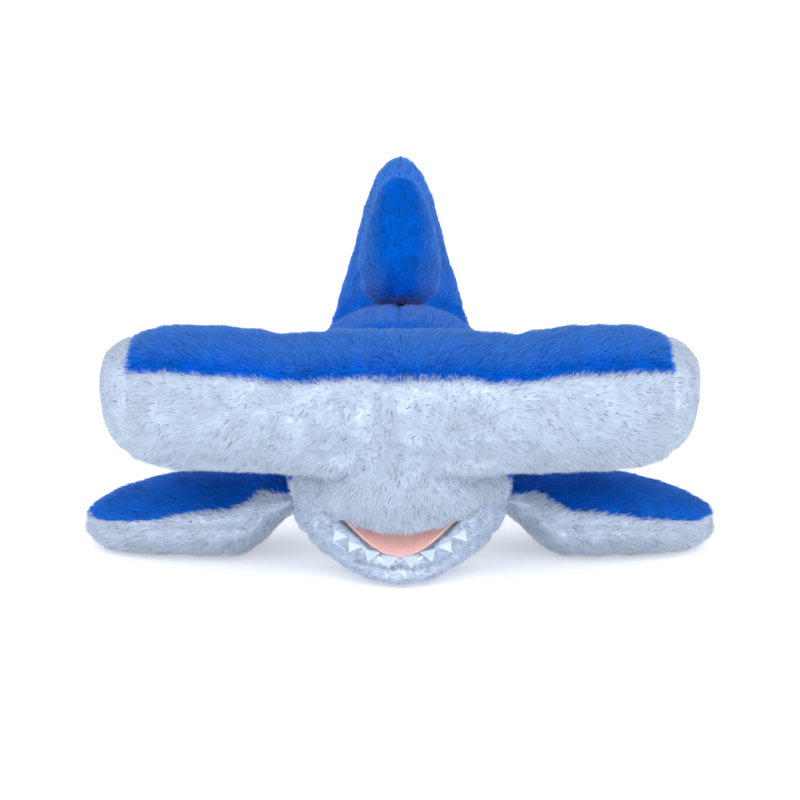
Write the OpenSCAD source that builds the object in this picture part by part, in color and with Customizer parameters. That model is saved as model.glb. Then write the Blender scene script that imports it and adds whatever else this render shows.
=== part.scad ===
// Plush hammerhead shark, resting on its belly, its chin and its two pectoral fins.
// The frame: floor at Z = 0, nose towards -Y, the shark's left towards +X. The origin is on the
// floor under the middle of the toy's length.
// Every panel is a skin of plush with stuffing behind it. Each soft joint is a gap or a round
// end about the seam it bends at, so that the pieces clear each other over the whole movement.

/* [Fabric] */
// Thickness of the plush, backing and pressed pile together
plush_t = 3; // [2:0.5:3.5]
// Thickness of the felt in the mouth and the teeth
felt_t = 1.2; // [0.8:0.1:1.5]
// Gap between a skin and the stuffing behind it
fill_gap = 0.8; // [0.6:0.1:1.2]
// Gap at the seam between two panels
seam_gap = 0.4; // [0.2:0.1:0.6]

/* [Hammer] */
// Width of the head from tip to tip
hammer_w = 320; // [310:2:330]
// Depth of the head from front to back
hammer_d = 100; // [90:1:104]
// Height of the head's underside above the floor
hammer_low = 61; // [60:1:66]
// Height of the head's top above the floor
hammer_high = 137; // [134:1:142]
// Height at which the tips reach furthest out
tip_z = 105; // [98:1:108]
// Distance between the seams of the two end caps
cap_seam_w = 288; // [270:2:296]
// How far the tips are swept back
sweep = 10; // [0:1:14]
// Diameter of the safety eyes
eye_d = 12; // [8:1:14]

/* [Mouth] */
// Height of the lower lip at the chin
lip_z = 15.5; // [12:0.5:18]
// Opening between the lips in the middle
mouth_gap = 10; // [6:0.5:12]
// Width of the opening between the lips
mouth_w = 72; // [60:2:80]
// Number of felt teeth along the lower lip
teeth = 8; // [6:2:10]
// Width of the largest tooth
tooth_w = 9.5; // [7:0.5:10]
// Length of the largest tooth
tooth_l = 6.5; // [4:0.5:8]

/* [Body] */
// Widest part of the body
body_w = 125; // [118:1:125]
// Height of the back above the floor
back_z = 131; // [126:1:132]
// Height of the seam between the back and the belly
side_seam_z = 50; // [42:1:56]

/* [Fins] */
// Width over the tips of both pectoral fins
fin_span = 362; // [350:2:368]
// Greatest thickness of a pectoral fin
fin_t = 44; // [36:1:44]
// Height of the dorsal fin above the back
dorsal_h = 75; // [66:1:80]
// Greatest thickness of the dorsal fin
dorsal_t = 48; // [40:1:50]
// Height of the tip of the tail above the floor
tail_z = 200; // [190:1:206]

/* [Hidden] */

blue = [0.05, 0.36, 0.76];
white = [0.80, 0.85, 0.92];
short_white = [0.84, 0.88, 0.94];
pink = [0.85, 0.62, 0.58];
felt = [0.93, 0.95, 0.98];
fluff = [0.95, 0.95, 0.92];
eye_black = [0.03, 0.03, 0.04];
washer_white = [0.85, 0.85, 0.82];

skin_in = plush_t;
fill_in = plush_t + fill_gap;

// ---- Shape helpers ----

// A signed power, which turns a circle's sine or cosine into a squarer or sharper curve
function spow(v, e) = sign(v) * pow(abs(v), e);

// 1 along the straight stretch, falling to 0 in a rounded end of the given reach
function round_end(x, start, reach, n) =
    pow(max(0, 1 - pow(max(0, (abs(x) - start) / reach), n)), 1 / n);

// A list of steps from a to b, both included
function steps(a, b, n) = [for (i = [0:n]) a + (b - a) * i / n];

// The same steps with both ends drawn in by a gap
function steps_in(a, b, n, gap) =
    [for (i = [0:n]) i == 0 ? a + gap : i == n ? b - gap : a + (b - a) * i / n];

function mean(pts) = [for (k = [0:2]) [for (p = pts) p[k]] * [for (p = pts) 1] / len(pts)];

// Two triangles for each cell between row i and row i + 1 of a grid; wrap joins its last column
// to its first
function cells(base, rows, cols, flip, wrap = false) = [
    for (i = [0:rows - 2], j = [0:cols - (wrap ? 1 : 2)], k = [0, 1])
        let (
            a = base + i * cols + j, b = base + i * cols + (j + 1) % cols,
            c = a + cols, d = b + cols,
            f = k == 0 ? [a, b, d] : [a, d, c]
        ) flip ? [f[2], f[1], f[0]] : f
];

function fan(ring, centre, flip) = [
    for (j = [0:len(ring) - 1])
        let (f = [ring[j], centre, ring[(j + 1) % len(ring)]])
        flip ? [f[2], f[1], f[0]] : f
];

// The points around the edge of a grid, in order
function rim_ids(rows, cols) = concat(
    [for (j = [0:cols - 1]) j],
    [for (i = [1:rows - 1]) i * cols + cols - 1],
    [for (j = [cols - 2:-1:0]) (rows - 1) * cols + j],
    [for (i = [rows - 2:-1:1]) i * cols]
);

// A skin: the closed solid between an outer and an inner grid of points
module panel(outer, inner, flip = false) {
    rows = len(outer);
    cols = len(outer[0]);
    n = rows * cols;
    rim = rim_ids(rows, cols);
    m = len(rim);
    edge = [for (j = [0:m - 1], k = [0, 1])
        let (
            a = rim[j], b = rim[(j + 1) % m],
            f = k == 0 ? [a, n + b, b] : [a, n + a, n + b]
        ) flip ? [f[2], f[1], f[0]] : f];
    polyhedron(
        [for (g = [outer, inner], row = g, p = row) p],
        concat(cells(0, rows, cols, flip), cells(n, rows, cols, !flip), edge)
    );
}

// A cup: the closed solid between two nested sets of rings that end in a rounded tip
module cup(outer, inner, flip = false) {
    rows = len(outer);
    cols = len(outer[0]);
    n = rows * cols;
    last = [for (j = [0:cols - 1]) (rows - 1) * cols + j];
    polyhedron(
        concat([for (g = [outer, inner], row = g, p = row) p],
            [mean(outer[rows - 1]), mean(inner[rows - 1])]),
        concat(
            cells(0, rows, cols, flip, true), cells(n, rows, cols, !flip, true),
            fan(last, 2 * n, !flip), fan([for (i = last) i + n], 2 * n + 1, flip),
            [for (j = [0:cols - 1], k = [0, 1])
                let (a = j, b = (j + 1) % cols, f = k == 0 ? [a, n + b, b] : [a, n + a, n + b])
                flip ? [f[2], f[1], f[0]] : f]
        )
    );
}

// Stuffing: a solid lofted through rings, closed at both ends
module plug(rings, flip = false) {
    rows = len(rings);
    cols = len(rings[0]);
    n = rows * cols;
    polyhedron(
        concat([for (row = rings, p = row) p], [mean(rings[0]), mean(rings[rows - 1])]),
        concat(
            cells(0, rows, cols, flip, true),
            fan([for (j = [0:cols - 1]) j], n, flip),
            fan([for (j = [0:cols - 1]) (rows - 1) * cols + j], n + 1, !flip)
        )
    );
}

// ---- Hammer: sections across X, angle 0 at the back, 90 on top, 180 at the front ----

hammer_y = -165;
half_w = hammer_w / 2;
half_d = hammer_d / 2;
half_h = (hammer_high - hammer_low) / 2;
seam_x = cap_seam_w / 2;
front_seam_a = 150;
back_seam_a = 10;
hammer_e = 0.87;
seam_a = seam_gap / half_h * 57.3;

function hammer_dip(x) = 5.5 * exp(-pow((abs(x) - 61) / 20, 2)) + 2.5 * exp(-pow(x / 40, 2));
function hammer_top(x) =
    tip_z + (hammer_high - tip_z - hammer_dip(x)) * round_end(x, half_w - 32, 32, 2.2);
function hammer_bottom(x) =
    tip_z - (tip_z - hammer_low) * round_end(x, half_w - 48, 48, 2.3);
function hammer_point(x, a, inset) =
    let (
        top = hammer_top(x), bottom = hammer_bottom(x),
        deep = (half_d - 4 * pow(x / half_w, 2)) * round_end(x, half_w - 40, 40, 2.3)
    ) [
        x * (1 - inset / half_w),
        hammer_y + sweep * pow(x / half_w, 2)
            + deep * (1 - inset / half_d) * spow(cos(a), hammer_e),
        (top + bottom) / 2 + (top - bottom) / 2 * (1 - inset / half_h) * spow(sin(a), hammer_e)
    ];
function hammer_grid(xs, as, inset) = [for (x = xs) [for (a = as) hammer_point(x, a, inset)]];

panel_xs = steps_in(-seam_x, seam_x, 18, seam_gap / 2);
top_as = steps_in(back_seam_a, front_seam_a, 8, seam_a);
front_as = steps_in(front_seam_a, 360 + back_seam_a, 12, seam_a);
round_as = concat([for (i = [0:7]) back_seam_a + (front_seam_a - back_seam_a) * i / 8],
    [for (i = [0:11]) front_seam_a + (360 + back_seam_a - front_seam_a) * i / 12]);
cap_xs = [for (f = [0, 0.35, 0.65, 0.85, 0.96]) seam_x + seam_gap / 2 + (half_w - seam_x) * f];

// Where an eye's shank goes through the end cap, and the way it points
eye_at = [half_w - 6, hammer_y + sweep + 26, tip_z + 4];
eye_turn = 38;
shank_r = 2;
shank_l = 13;

module at_eye() {
    translate(eye_at) rotate([0, 0, eye_turn]) rotate([0, 90, 0]) children();
}

module hammer_top_panel() {
    color(blue)
        panel(hammer_grid(panel_xs, top_as, 0), hammer_grid(panel_xs, top_as, skin_in), true);
}
module hammer_front_panel() {
    color(white)
        panel(hammer_grid(panel_xs, front_as, 0), hammer_grid(panel_xs, front_as, skin_in), true);
}
module end_cap() {
    color(white) difference() {
        cup(hammer_grid(cap_xs, round_as, 0), hammer_grid(cap_xs, round_as, skin_in), true);
        at_eye() translate([0, 0, -14]) cylinder(r = shank_r + 0.2, h = 30, $fn = 32);
    }
}
module hammer_end_cap_left() end_cap();
module hammer_end_cap_right() mirror([1, 0, 0]) end_cap();

module hammer_stuffing() {
    xs = concat([for (i = [4:-1:1]) -cap_xs[i]], steps(-seam_x, seam_x, 18),
        [for (i = [1:4]) cap_xs[i]]);
    color(fluff) difference() {
        plug(hammer_grid(xs, round_as, fill_in), true);
        for (side = [0, 1]) mirror([side, 0, 0])
            at_eye() translate([0, 0, -14]) cylinder(r = 7, h = 14, $fn = 48);
    }
}

module safety_eye() {
    color(eye_black) at_eye() {
        translate([0, 0, 2.2]) intersection() {
            scale(eye_d / 12) translate([0, 0, -3.4]) sphere(r = 7, $fn = 64);
            cylinder(r = eye_d, h = eye_d, $fn = 64);
        }
        translate([0, 0, -shank_l + 2.5]) cylinder(r = shank_r, h = shank_l, $fn = 32);
    }
}
module safety_eye_left() safety_eye();
module safety_eye_right() mirror([1, 0, 0]) safety_eye();

module eye_washer() {
    color(washer_white) at_eye() translate([0, 0, -8.5]) difference() {
        cylinder(r = 6, h = 1.6, $fn = 48);
        translate([0, 0, -1]) cylinder(r = shank_r + 0.05, h = 4, $fn = 32);
    }
}
module eye_washer_left() eye_washer();
module eye_washer_right() mirror([1, 0, 0]) eye_washer();

// ---- Mouth: the jaw hinges about a line across the head ----

jaw_y = -148;
jaw_z = 36;
jaw_reach = 44;
jaw_half_w = 60;
snout_half_w = 56;
snout_reach = 46;
lip_slope = 0.45;
smile = 0.0055;
cheek_top = 40;
throat_slope = 0.29;
cheek_a = 62;
jaw_e = 1.08;

// The surface that the two lips meet on: it rises towards the hinge and towards the cheeks
function lip_height(x, y) =
    min(cheek_top, lip_z + lip_slope * (y - jaw_y + jaw_reach) + smile * x * x);

function jaw_w(y) = jaw_half_w * round_end(jaw_y - y, 0, jaw_reach, 1.7);
function jaw_low(y) =
    let (top = lip_height(jaw_w(y), y)) top * (1 - round_end(jaw_y - y, 0, jaw_reach + 0.1, 5));
function jaw_point(y, a, inset) =
    let (
        w = max(jaw_w(y) - inset, jaw_w(y) * 0.2), top = lip_height(jaw_w(y), y),
        low = jaw_low(y) + min(inset, (top - jaw_low(y)) * 0.6)
    ) [w * spow(sin(a), jaw_e), y, top - (top - low) * spow(cos(a), jaw_e)];

jaw_ys = [for (f = [0, 0.2, 0.4, 0.56, 0.7, 0.81, 0.9, 0.96, 0.995]) jaw_y - jaw_reach * f];
function inner_y(y, inset) = jaw_y + (y - jaw_y) * (1 - inset / jaw_reach);
function jaw_grid(as, inset) =
    [for (y = jaw_ys) [for (a = as) let (p = jaw_point(y, a, inset)) [p[0], inner_y(y, inset), p[2]]]];

module lower_jaw_panel() {
    as = steps_in(-cheek_a, cheek_a, 10, 0.5);
    color(short_white) panel(jaw_grid(as, 0), jaw_grid(as, skin_in), true);
}
module cheek_panel() {
    as = steps_in(cheek_a, 90, 2, 0.5);
    color(short_white) panel(jaw_grid(as, 0), jaw_grid(as, skin_in), true);
}
module cheek_panel_left() cheek_panel();
module cheek_panel_right() mirror([1, 0, 0]) cheek_panel();

// Heights on the meeting surface inside the jaw, from side to side
function lip_row(y, inset, drop, n) =
    let (w = max(jaw_w(y) - inset, jaw_w(y) * 0.2))
    [for (x = steps(w, -w, n)) [x, inner_y(y, inset), lip_height(x, y) - drop]];

module mouth_lining() {
    color(pink) panel(
        [for (y = jaw_ys) lip_row(y, skin_in + 0.4, 0.4, 8)],
        [for (y = jaw_ys) lip_row(y, skin_in + 0.4, 0.4 + felt_t, 8)],
        true
    );
}
module jaw_stuffing() {
    drop = felt_t + 1.3;
    as = steps(-80, 80, 12);
    color(fluff) plug([for (i = [0:6]) let (y = jaw_ys[i])
        concat(
            [for (a = as) let (p = jaw_point(y, a, fill_in + 0.6))
                [p[0], inner_y(y, fill_in) - 0.4, min(p[2], lip_height(p[0], y) - drop - 1)]],
            [for (x = steps(0.8, -0.8, 4))
                let (w = max(jaw_w(y) - fill_in - 0.6, jaw_w(y) * 0.2))
                [x * w, inner_y(y, fill_in) - 0.4, lip_height(x * w, y) - drop]]
        )], true);
}

// A tooth lies on the outside of the lower lip, its base along the lip
function lip_point(x) =
    let (y = jaw_y - jaw_reach * pow(1 - pow(min(1, abs(x) / jaw_half_w), 1.7), 1 / 1.7))
    [x, y, lip_height(x, y)];
module tooth(x) {
    k = 1 - 0.3 * abs(x) / 33;
    w = tooth_w * k / 2;
    a = lip_point(x - w);
    b = lip_point(x + w);
    along = (b - a) / norm(b - a);
    out = [0, -1, 0] + [x / 60, 0, 0];
    base_out = out * (1.1 + 0.004 * x * x);
    down = cross(along, out) * (cross(along, out)[2] > 0 ? -1 : 1);
    tip = (a + b) / 2 + down * tooth_l * k + out * 2.2 + [x / 24, 0, 0];
    front = out * felt_t;
    pts = [a + base_out, b + base_out, tip + base_out, a + base_out + front,
        b + base_out + front, tip + base_out + front * 0.6];
    polyhedron(pts, [[0, 2, 1], [3, 4, 5], [0, 1, 4], [0, 4, 3], [1, 2, 5], [1, 5, 4],
        [2, 0, 3], [2, 3, 5]]);
}
module felt_teeth() {
    spots = [for (i = [0:teeth / 2 - 1]) 5 + i * 9.4 - i * i * 0.15];
    color(felt) for (x = spots, side = [-1, 1]) tooth(side * x);
}

// The snout: from the upper lip up to the underside of the hammer
function under_hammer(y) =
    (hammer_high + hammer_low) / 2 - 2
    - half_h * pow(max(0, 1 - pow(min(1, abs(y - hammer_y) / half_d), 2.3)), 1 / 2.3);
function snout_point(a, v, inset) =
    let (
        x0 = snout_half_w * spow(sin(a), 1.15), y0 = jaw_y - 1 - snout_reach * spow(cos(a), 1.1),
        gap = 0.8 + (mouth_gap - 0.8) * max(0, 1 - pow(2 * x0 / mouth_w, 2)),
        z0 = lip_height(x0, max(y0, jaw_y - jaw_reach)) + gap, z1 = under_hammer(y0),
        k = 1 - 0.06 * v * v
    ) [
        x0 * (1 - inset / snout_half_w) * (1 - 0.03 * v),
        jaw_y - 1 + (y0 - jaw_y + 1) * (1 - inset / snout_reach) * k,
        z0 + (z1 - z0) * v
    ];
function snout_grid(as, vs, inset) = [for (v = vs) [for (a = as) snout_point(a, v, inset)]];

module snout_panel() {
    as = steps(-88, 88, 14);
    vs = steps(0, 1, 4);
    color(white) panel(snout_grid(as, vs, 0), snout_grid(as, vs, skin_in), true);
}
// The roof of the mouth at part f of the way from the middle of the hinge line to the lip
function palate_point(a, f, lift) =
    let (rim = snout_point(a, 0, skin_in + 0.6), mid = [0, jaw_y - 2, cheek_top + 1.2])
    let (p = mid + (rim - mid) * f) [p[0], p[1], max(p[2], lip_height(p[0], p[1]) + 0.9) + lift];
module palate_lining() {
    as = steps(-86, 86, 10);
    fs = [0.12, 0.4, 0.7, 1];
    color(pink) panel(
        [for (f = fs) [for (a = as) palate_point(a, f, felt_t)]],
        [for (f = fs) [for (a = as) palate_point(a, f, 0)]]
    );
}
module snout_stuffing() {
    as = steps(-84, 84, 14);
    color(fluff) plug([for (v = [0, 0.5, 1]) [for (a = as)
        let (p = snout_point(a, v, fill_in + 0.4)) [p[0], p[1], p[2] + (1 - v) * 4 - v * 2]]], true);
}

// ---- Body: sections across Y, angle 0 on the left, 90 on top ----

body_front = -146;
body_back = 60;
body_low = -4;
body_e = 0.85;
dorsal_front = -30;
dorsal_back = 50;
back_fall = 10;
side_seam_a = -9 + (side_seam_z - 50) * 0.9;

function body_half_w(y) = body_w / 2 * lookup(y, [[-165, 0.96], [-120, 0.99], [-80, 1],
    [-40, 1], [-10, 0.97], [20, 0.92], [45, 0.86], [60, 0.81]]);
function back_line(y) = back_z - max(0, y - dorsal_front) / (dorsal_back - dorsal_front) * back_fall;
function belly_line(y) = body_low + max(0, y + 20) * 0.12;
function body_point(y, a, inset) =
    let (
        top = back_line(y), low = belly_line(y), h = (top - low) / 2,
        w = body_half_w(y) - inset
    ) [
        w * spow(cos(a), body_e), y,
        max(inset, (top + low) / 2 + (h - inset) * spow(sin(a), body_e))
    ];
// The body's front edge: behind the jaw's swing, behind the snout and behind the hammer
function front_edge(p) =
    p[2] < jaw_z ? jaw_y + 1.2 + (jaw_z - p[2]) * throat_slope
    : p[2] < hammer_low + 2 ? jaw_y + 1.2
    : hammer_y + sweep * pow(p[0] / half_w, 2) + 2.2
        + half_d * pow(max(0, 1 - pow(abs(p[2] - (hammer_high + hammer_low) / 2) / half_h, 2.3)),
            1 / 2.3);
body_us = steps(0, 1, 12);
function body_grid(as, inset) = [for (u = body_us) [for (a = as)
    let (y0 = front_edge(body_point(-130, a, 0))) body_point(y0 + (body_back - y0) * u, a, inset)]];

back_as = steps_in(side_seam_a, 90, 9, 0.3);
belly_as = steps_in(-180 - side_seam_a, side_seam_a, 14, 0.3);
body_as = concat([for (i = [0:8]) side_seam_a + (90 - side_seam_a) * i / 9],
    [for (i = [0:8]) 90 + (90 - side_seam_a) * i / 9],
    [for (i = [0:13]) 180 - side_seam_a + (180 + 2 * side_seam_a) * i / 14]);

module back_panel() {
    color(blue) panel(body_grid(back_as, 0), body_grid(back_as, skin_in));
}
module back_panel_left() back_panel();
module back_panel_right() mirror([1, 0, 0]) back_panel();
module belly_panel() {
    color(short_white) panel(body_grid(belly_as, 0), body_grid(belly_as, skin_in));
}

// ---- Tail: sections along a curved spine, angle 0 on the left, 90 towards the front and up ----

tail_y = 85;
tail_r = 47;
tail_mid = 61;
tail_tall = 55;
spine = [[tail_y, tail_mid], [178, 48], [197.5, tail_z]];

function spine_at(t) = spine[0] * pow(1 - t, 2) + spine[1] * 2 * t * (1 - t) + spine[2] * t * t;
function spine_dir(t) =
    let (d = (spine[1] - spine[0]) * (1 - t) + (spine[2] - spine[1]) * t) d / norm(d);
function tail_half_w(t) = lookup(t, [[0, tail_r], [0.25, 46.5], [0.45, 45.5], [0.6, 40],
    [0.75, 32.5], [0.9, 25], [1, 20]]) * round_end(t, 0.84, 0.1602, 2.4);
function tail_half_h(t) = lookup(t, [[0, tail_tall], [0.25, 45], [0.45, 39], [0.6, 34.5],
    [0.75, 29.5], [0.9, 23], [1, 19]]) * round_end(t, 0.84, 0.1602, 2.4);
function tail_point(t, a, inset) =
    let (
        c = spine_at(t), d = spine_dir(t),
        w = max(tail_half_w(t) - inset, tail_half_w(t) * 0.25),
        h = max(tail_half_h(t) - inset, tail_half_h(t) * 0.25)
    ) [w * spow(cos(a), 0.95), c[0] - d[1] * h * spow(sin(a), 0.95),
        max(inset, c[1] + d[0] * h * spow(sin(a), 0.95))];
// The tail's round front end, which turns inside the hollow at the back of the body
function dome_point(back, a, r, h) =
    let (k = sqrt(max(0, 1 - pow(back / r, 2))))
    [r * k * cos(a), tail_y - back, tail_mid + h * k * sin(a)];

tail_seam_t = 0.56;
tail_seam_a = -28;
tail_ts = [0, 0.1, 0.2, 0.3, 0.4, 0.48, tail_seam_t - 0.001];
caudal_ts = [tail_seam_t + 0.001, 0.64, 0.72, 0.79, 0.86, 0.92, 0.96, 0.985, 0.999];
function tail_grid(ts, as, inset) = [for (t = ts) [for (a = as) tail_point(t, a, inset)]];
// The skin of the tail starts part of the way along the round front end
dome_backs = [24, 16, 8];
function stock_grid(as, inset) = concat(
    [for (b = dome_backs) [for (a = as) dome_point(b, a, tail_r - inset, tail_tall - inset)]],
    tail_grid(tail_ts, as, inset));

module tail_panel() {
    as = steps_in(tail_seam_a, 90, 8, 0.4);
    color(blue) panel(stock_grid(as, 0), stock_grid(as, skin_in));
}
module tail_panel_left() tail_panel();
module tail_panel_right() mirror([1, 0, 0]) tail_panel();
module tail_belly_panel() {
    as = steps_in(-180 - tail_seam_a, tail_seam_a, 8, 0.4);
    color(short_white) panel(stock_grid(as, 0), stock_grid(as, skin_in));
}
tail_as = concat([for (i = [0:7]) tail_seam_a + (90 - tail_seam_a) * i / 8],
    [for (i = [0:7]) 90 + (90 - tail_seam_a) * i / 8],
    [for (i = [0:7]) 180 - tail_seam_a + (180 + 2 * tail_seam_a) * i / 8]);
module tail_stuffing() {
    r = tail_r - fill_in;
    h = tail_tall - fill_in;
    color(fluff) plug(concat(
        [for (b = [0.97, 0.85, 0.68]) [for (a = tail_as) dome_point(b * r, a, r, h)]],
        [for (b = [16, 8]) [for (a = tail_as) dome_point(b, a, r, h)]],
        tail_grid(tail_ts, tail_as, fill_in)));
}
module caudal_panel() {
    as = steps_in(-90, 90, 10, 0.4);
    color(blue) panel(tail_grid(caudal_ts, as, 0), tail_grid(caudal_ts, as, skin_in));
}
module caudal_panel_left() caudal_panel();
module caudal_panel_right() mirror([1, 0, 0]) caudal_panel();
module caudal_stuffing() {
    color(fluff) plug(tail_grid(caudal_ts, steps(-90, 252, 19), fill_in));
}

// The body's stuffing ends in the hollow that the tail's round front end turns in
function fill_ring(y) = [for (a = body_as)
    let (p = body_point(y, a, fill_in), throat = jaw_y + 4 + max(0, jaw_z - p[2]) * throat_slope)
    [p[0], max(p[1], throat), min(p[2], y < hammer_y + half_d + 3 ? max(fill_in + 1,
        y > hammer_y ? under_hammer(y) - 4.5 : p[2]) : p[2])]];
module body_stuffing() {
    socket_r = tail_r + 0.8;
    socket_h = tail_tall + 0.8;
    rim = tail_y - body_back;
    color(fluff) plug(concat(
        [for (y = [body_front + 3, -134, -124, -117, -112.5, -107, -90, -60, -20, 10, 35,
            body_back - 0.5]) fill_ring(y)],
        [for (b = [rim, 34, 41, 46]) [for (a = body_as) dome_point(b, a, socket_r, socket_h)]]
    ));
}
module sewn_label() {
    y = 25;
    p = body_point(y, side_seam_a, 0);
    color(felt) translate([-p[0] - 14.5, y, p[2] - 0.6]) cube([14, 18, 1.2]);
}

// ---- Fins: closed lens sections that shrink to a rounded tip ----

// A section of a fin at one station [reach, half chord, chord centre, half thickness, lift]
function lens(st, a, inset) =
    let (c = max(st[1] - inset, st[1] * 0.3), t = max(st[3] - inset, st[3] * 0.3))
    [st[2] + c * cos(a), st[4] + t * sin(a)];

// Pectoral fins: each flaps about a line along its root
fin_root_x = 71.5;
fin_root_z = 37;
fin_root_r = 11;
half_t = fin_t / 2;
tip_x = fin_span / 2;
fin_stations = concat(
    [for (d = [10.6, 9, 6, 3, 0]) [fin_root_x - d, 40, -98, sqrt(pow(fin_root_r, 2) - d * d),
        fin_root_z]],
    [[76, 42, -98, half_t * 0.71, 32], [81, 44, -98, half_t * 0.87, 26],
        [88, 46, -97, half_t * 0.98, half_t], [102, 48, -96, half_t, half_t],
        [120, 47, -95, half_t * 0.98, half_t], [137, 43, -93, half_t * 0.91, half_t - 2],
        [tip_x - 28, 37, -92, half_t * 0.8, half_t - 4.4],
        [tip_x - 16, 29, -91, half_t * 0.66, half_t - 6],
        [tip_x - 8, 21, -90, half_t * 0.5, half_t - 6.4],
        [tip_x - 3, 13, -89, half_t * 0.32, half_t - 6.6],
        [tip_x, 5, -89, half_t * 0.12, half_t - 6.6]]);
function fin_grid(as, inset, lo = 0) = [for (i = [lo:len(fin_stations) - 1]) [for (a = as)
    let (st = fin_stations[i], p = lens(st, a, inset))
    [st[0] - inset * 0.8 * pow(max(0, (st[0] - 150) / (tip_x - 150)), 2)
        + inset * 0.5 * max(0, (fin_root_x - st[0]) / fin_root_r), p[0], max(inset, p[1])]]];

module pectoral_top() {
    as = steps_in(0, 180, 10, 0.5);
    color(blue) panel(fin_grid(as, 0), fin_grid(as, skin_in), true);
}
module pectoral_bottom() {
    as = steps_in(180, 360, 10, 0.5);
    color(white) panel(fin_grid(as, 0), fin_grid(as, skin_in), true);
}
module pectoral_stuffing() {
    color(fluff) plug(fin_grid(steps(0, 342, 19), fill_in, 1), true);
}
module pectoral_left_top() pectoral_top();
module pectoral_left_bottom() pectoral_bottom();
module pectoral_left_stuffing() pectoral_stuffing();
module pectoral_right_top() mirror([1, 0, 0]) pectoral_top();
module pectoral_right_bottom() mirror([1, 0, 0]) pectoral_bottom();
module pectoral_right_stuffing() mirror([1, 0, 0]) pectoral_stuffing();

// Dorsal fin: built upright about its own root line, then laid along the back
dorsal_root_r = 12;
dorsal_tilt = atan2(back_fall, dorsal_back - dorsal_front);
dorsal_tip = dorsal_h - dorsal_root_r - 1;
half_dorsal = dorsal_t / 2;
dorsal_stations = concat(
    [for (d = [11.7, 10, 6.5, 3]) [-d, 36, 0, sqrt(pow(dorsal_root_r, 2) - d * d), 0]],
    [[0, 37, 0, dorsal_root_r, 0], [6, 37, 1, half_dorsal * 0.78, 0],
        [13, 35, 3, half_dorsal * 0.97, 0], [23, 31, 7, half_dorsal, 0],
        [33, 26, 11, half_dorsal * 0.9, 0], [dorsal_tip - 19, 21, 15, half_dorsal * 0.74, 0],
        [dorsal_tip - 10, 16, 18, half_dorsal * 0.55, 0],
        [dorsal_tip - 4, 11, 20, half_dorsal * 0.36, 0],
        [dorsal_tip - 1, 6.5, 21, half_dorsal * 0.2, 0], [dorsal_tip, 3, 21, half_dorsal * 0.1, 0]]);
function dorsal_grid(as, inset, lo = 0) = [for (i = [lo:len(dorsal_stations) - 1]) [for (a = as)
    let (st = dorsal_stations[i], p = lens(st, a, inset))
    [p[1], p[0], st[0] - inset * 0.7 * pow(max(0, st[0] / dorsal_tip), 3)
        + inset * 0.5 * max(0, -st[0] / dorsal_root_r)]]];
module on_back() {
    y = (dorsal_front + dorsal_back) / 2;
    translate([0, y, back_line(y) + dorsal_root_r + 1]) rotate([-dorsal_tilt, 0, 0]) children();
}
module dorsal_panel() {
    as = steps_in(0, 180, 10, 0.5);
    color(blue) on_back() panel(dorsal_grid(as, 0), dorsal_grid(as, skin_in));
}
module dorsal_panel_left() dorsal_panel();
module dorsal_panel_right() mirror([1, 0, 0]) dorsal_panel();
module dorsal_stuffing() {
    color(fluff) on_back() plug(dorsal_grid(steps(0, 342, 19), fill_in, 1));
}

// Lower lobe of the tail fin: sewn under the bend of the tail
lobe_t = 0.44;
lobe_root_r = 11;
lobe_tip = 26;
lobe_stations = concat(
    [for (d = [10.5, 8, 4]) [-d, 15, 0, sqrt(pow(lobe_root_r, 2) - d * d), 0]],
    [[0, 17, 0, lobe_root_r, 0], [7, 17, 0, 13, 0], [14, 15, 1, 12, 0], [19, 12, 2, 9, 0],
        [lobe_tip - 2, 7, 3, 5.5, 0], [lobe_tip, 3, 3, 2, 0]]);
function lobe_grid(as, inset, lo = 0) = [for (i = [lo:len(lobe_stations) - 1]) [for (a = as)
    let (st = lobe_stations[i], p = lens(st, a, inset)) [p[1], p[0],
        st[0] - inset * 0.7 * pow(max(0, st[0] / lobe_tip), 3)
            + inset * 0.4 * max(0, -st[0] / lobe_root_r)]]];
module under_tail() {
    c = spine_at(lobe_t);
    d = spine_dir(lobe_t);
    reach = tail_half_h(lobe_t) + lobe_root_r + 1.5;
    translate([0, c[0] + d[1] * reach, c[1] - d[0] * reach])
        rotate([atan2(-d[1], -d[0]), 0, 0]) children();
}
module lower_lobe() {
    as = steps_in(0, 180, 8, 0.8);
    color(blue) under_tail() panel(lobe_grid(as, 0), lobe_grid(as, skin_in));
}
module lower_lobe_left() lower_lobe();
module lower_lobe_right() mirror([1, 0, 0]) lower_lobe();
module lower_lobe_stuffing() {
    color(fluff) under_tail() plug(lobe_grid(steps(0, 337.5, 15), fill_in, 1));
}

hammer_top_panel();
hammer_front_panel();
hammer_end_cap_left();
hammer_end_cap_right();
hammer_stuffing();
safety_eye_left();
safety_eye_right();
eye_washer_left();
eye_washer_right();
snout_panel();
palate_lining();
snout_stuffing();
back_panel_left();
back_panel_right();
belly_panel();
body_stuffing();
sewn_label();
lower_jaw_panel();
cheek_panel_left();
cheek_panel_right();
jaw_stuffing();
mouth_lining();
felt_teeth();
pectoral_left_top();
pectoral_left_bottom();
pectoral_left_stuffing();
pectoral_right_top();
pectoral_right_bottom();
pectoral_right_stuffing();
dorsal_panel_left();
dorsal_panel_right();
dorsal_stuffing();
tail_panel_left();
tail_panel_right();
tail_belly_panel();
tail_stuffing();
caudal_panel_left();
caudal_panel_right();
caudal_stuffing();
lower_lobe_left();
lower_lobe_right();
lower_lobe_stuffing();
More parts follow.
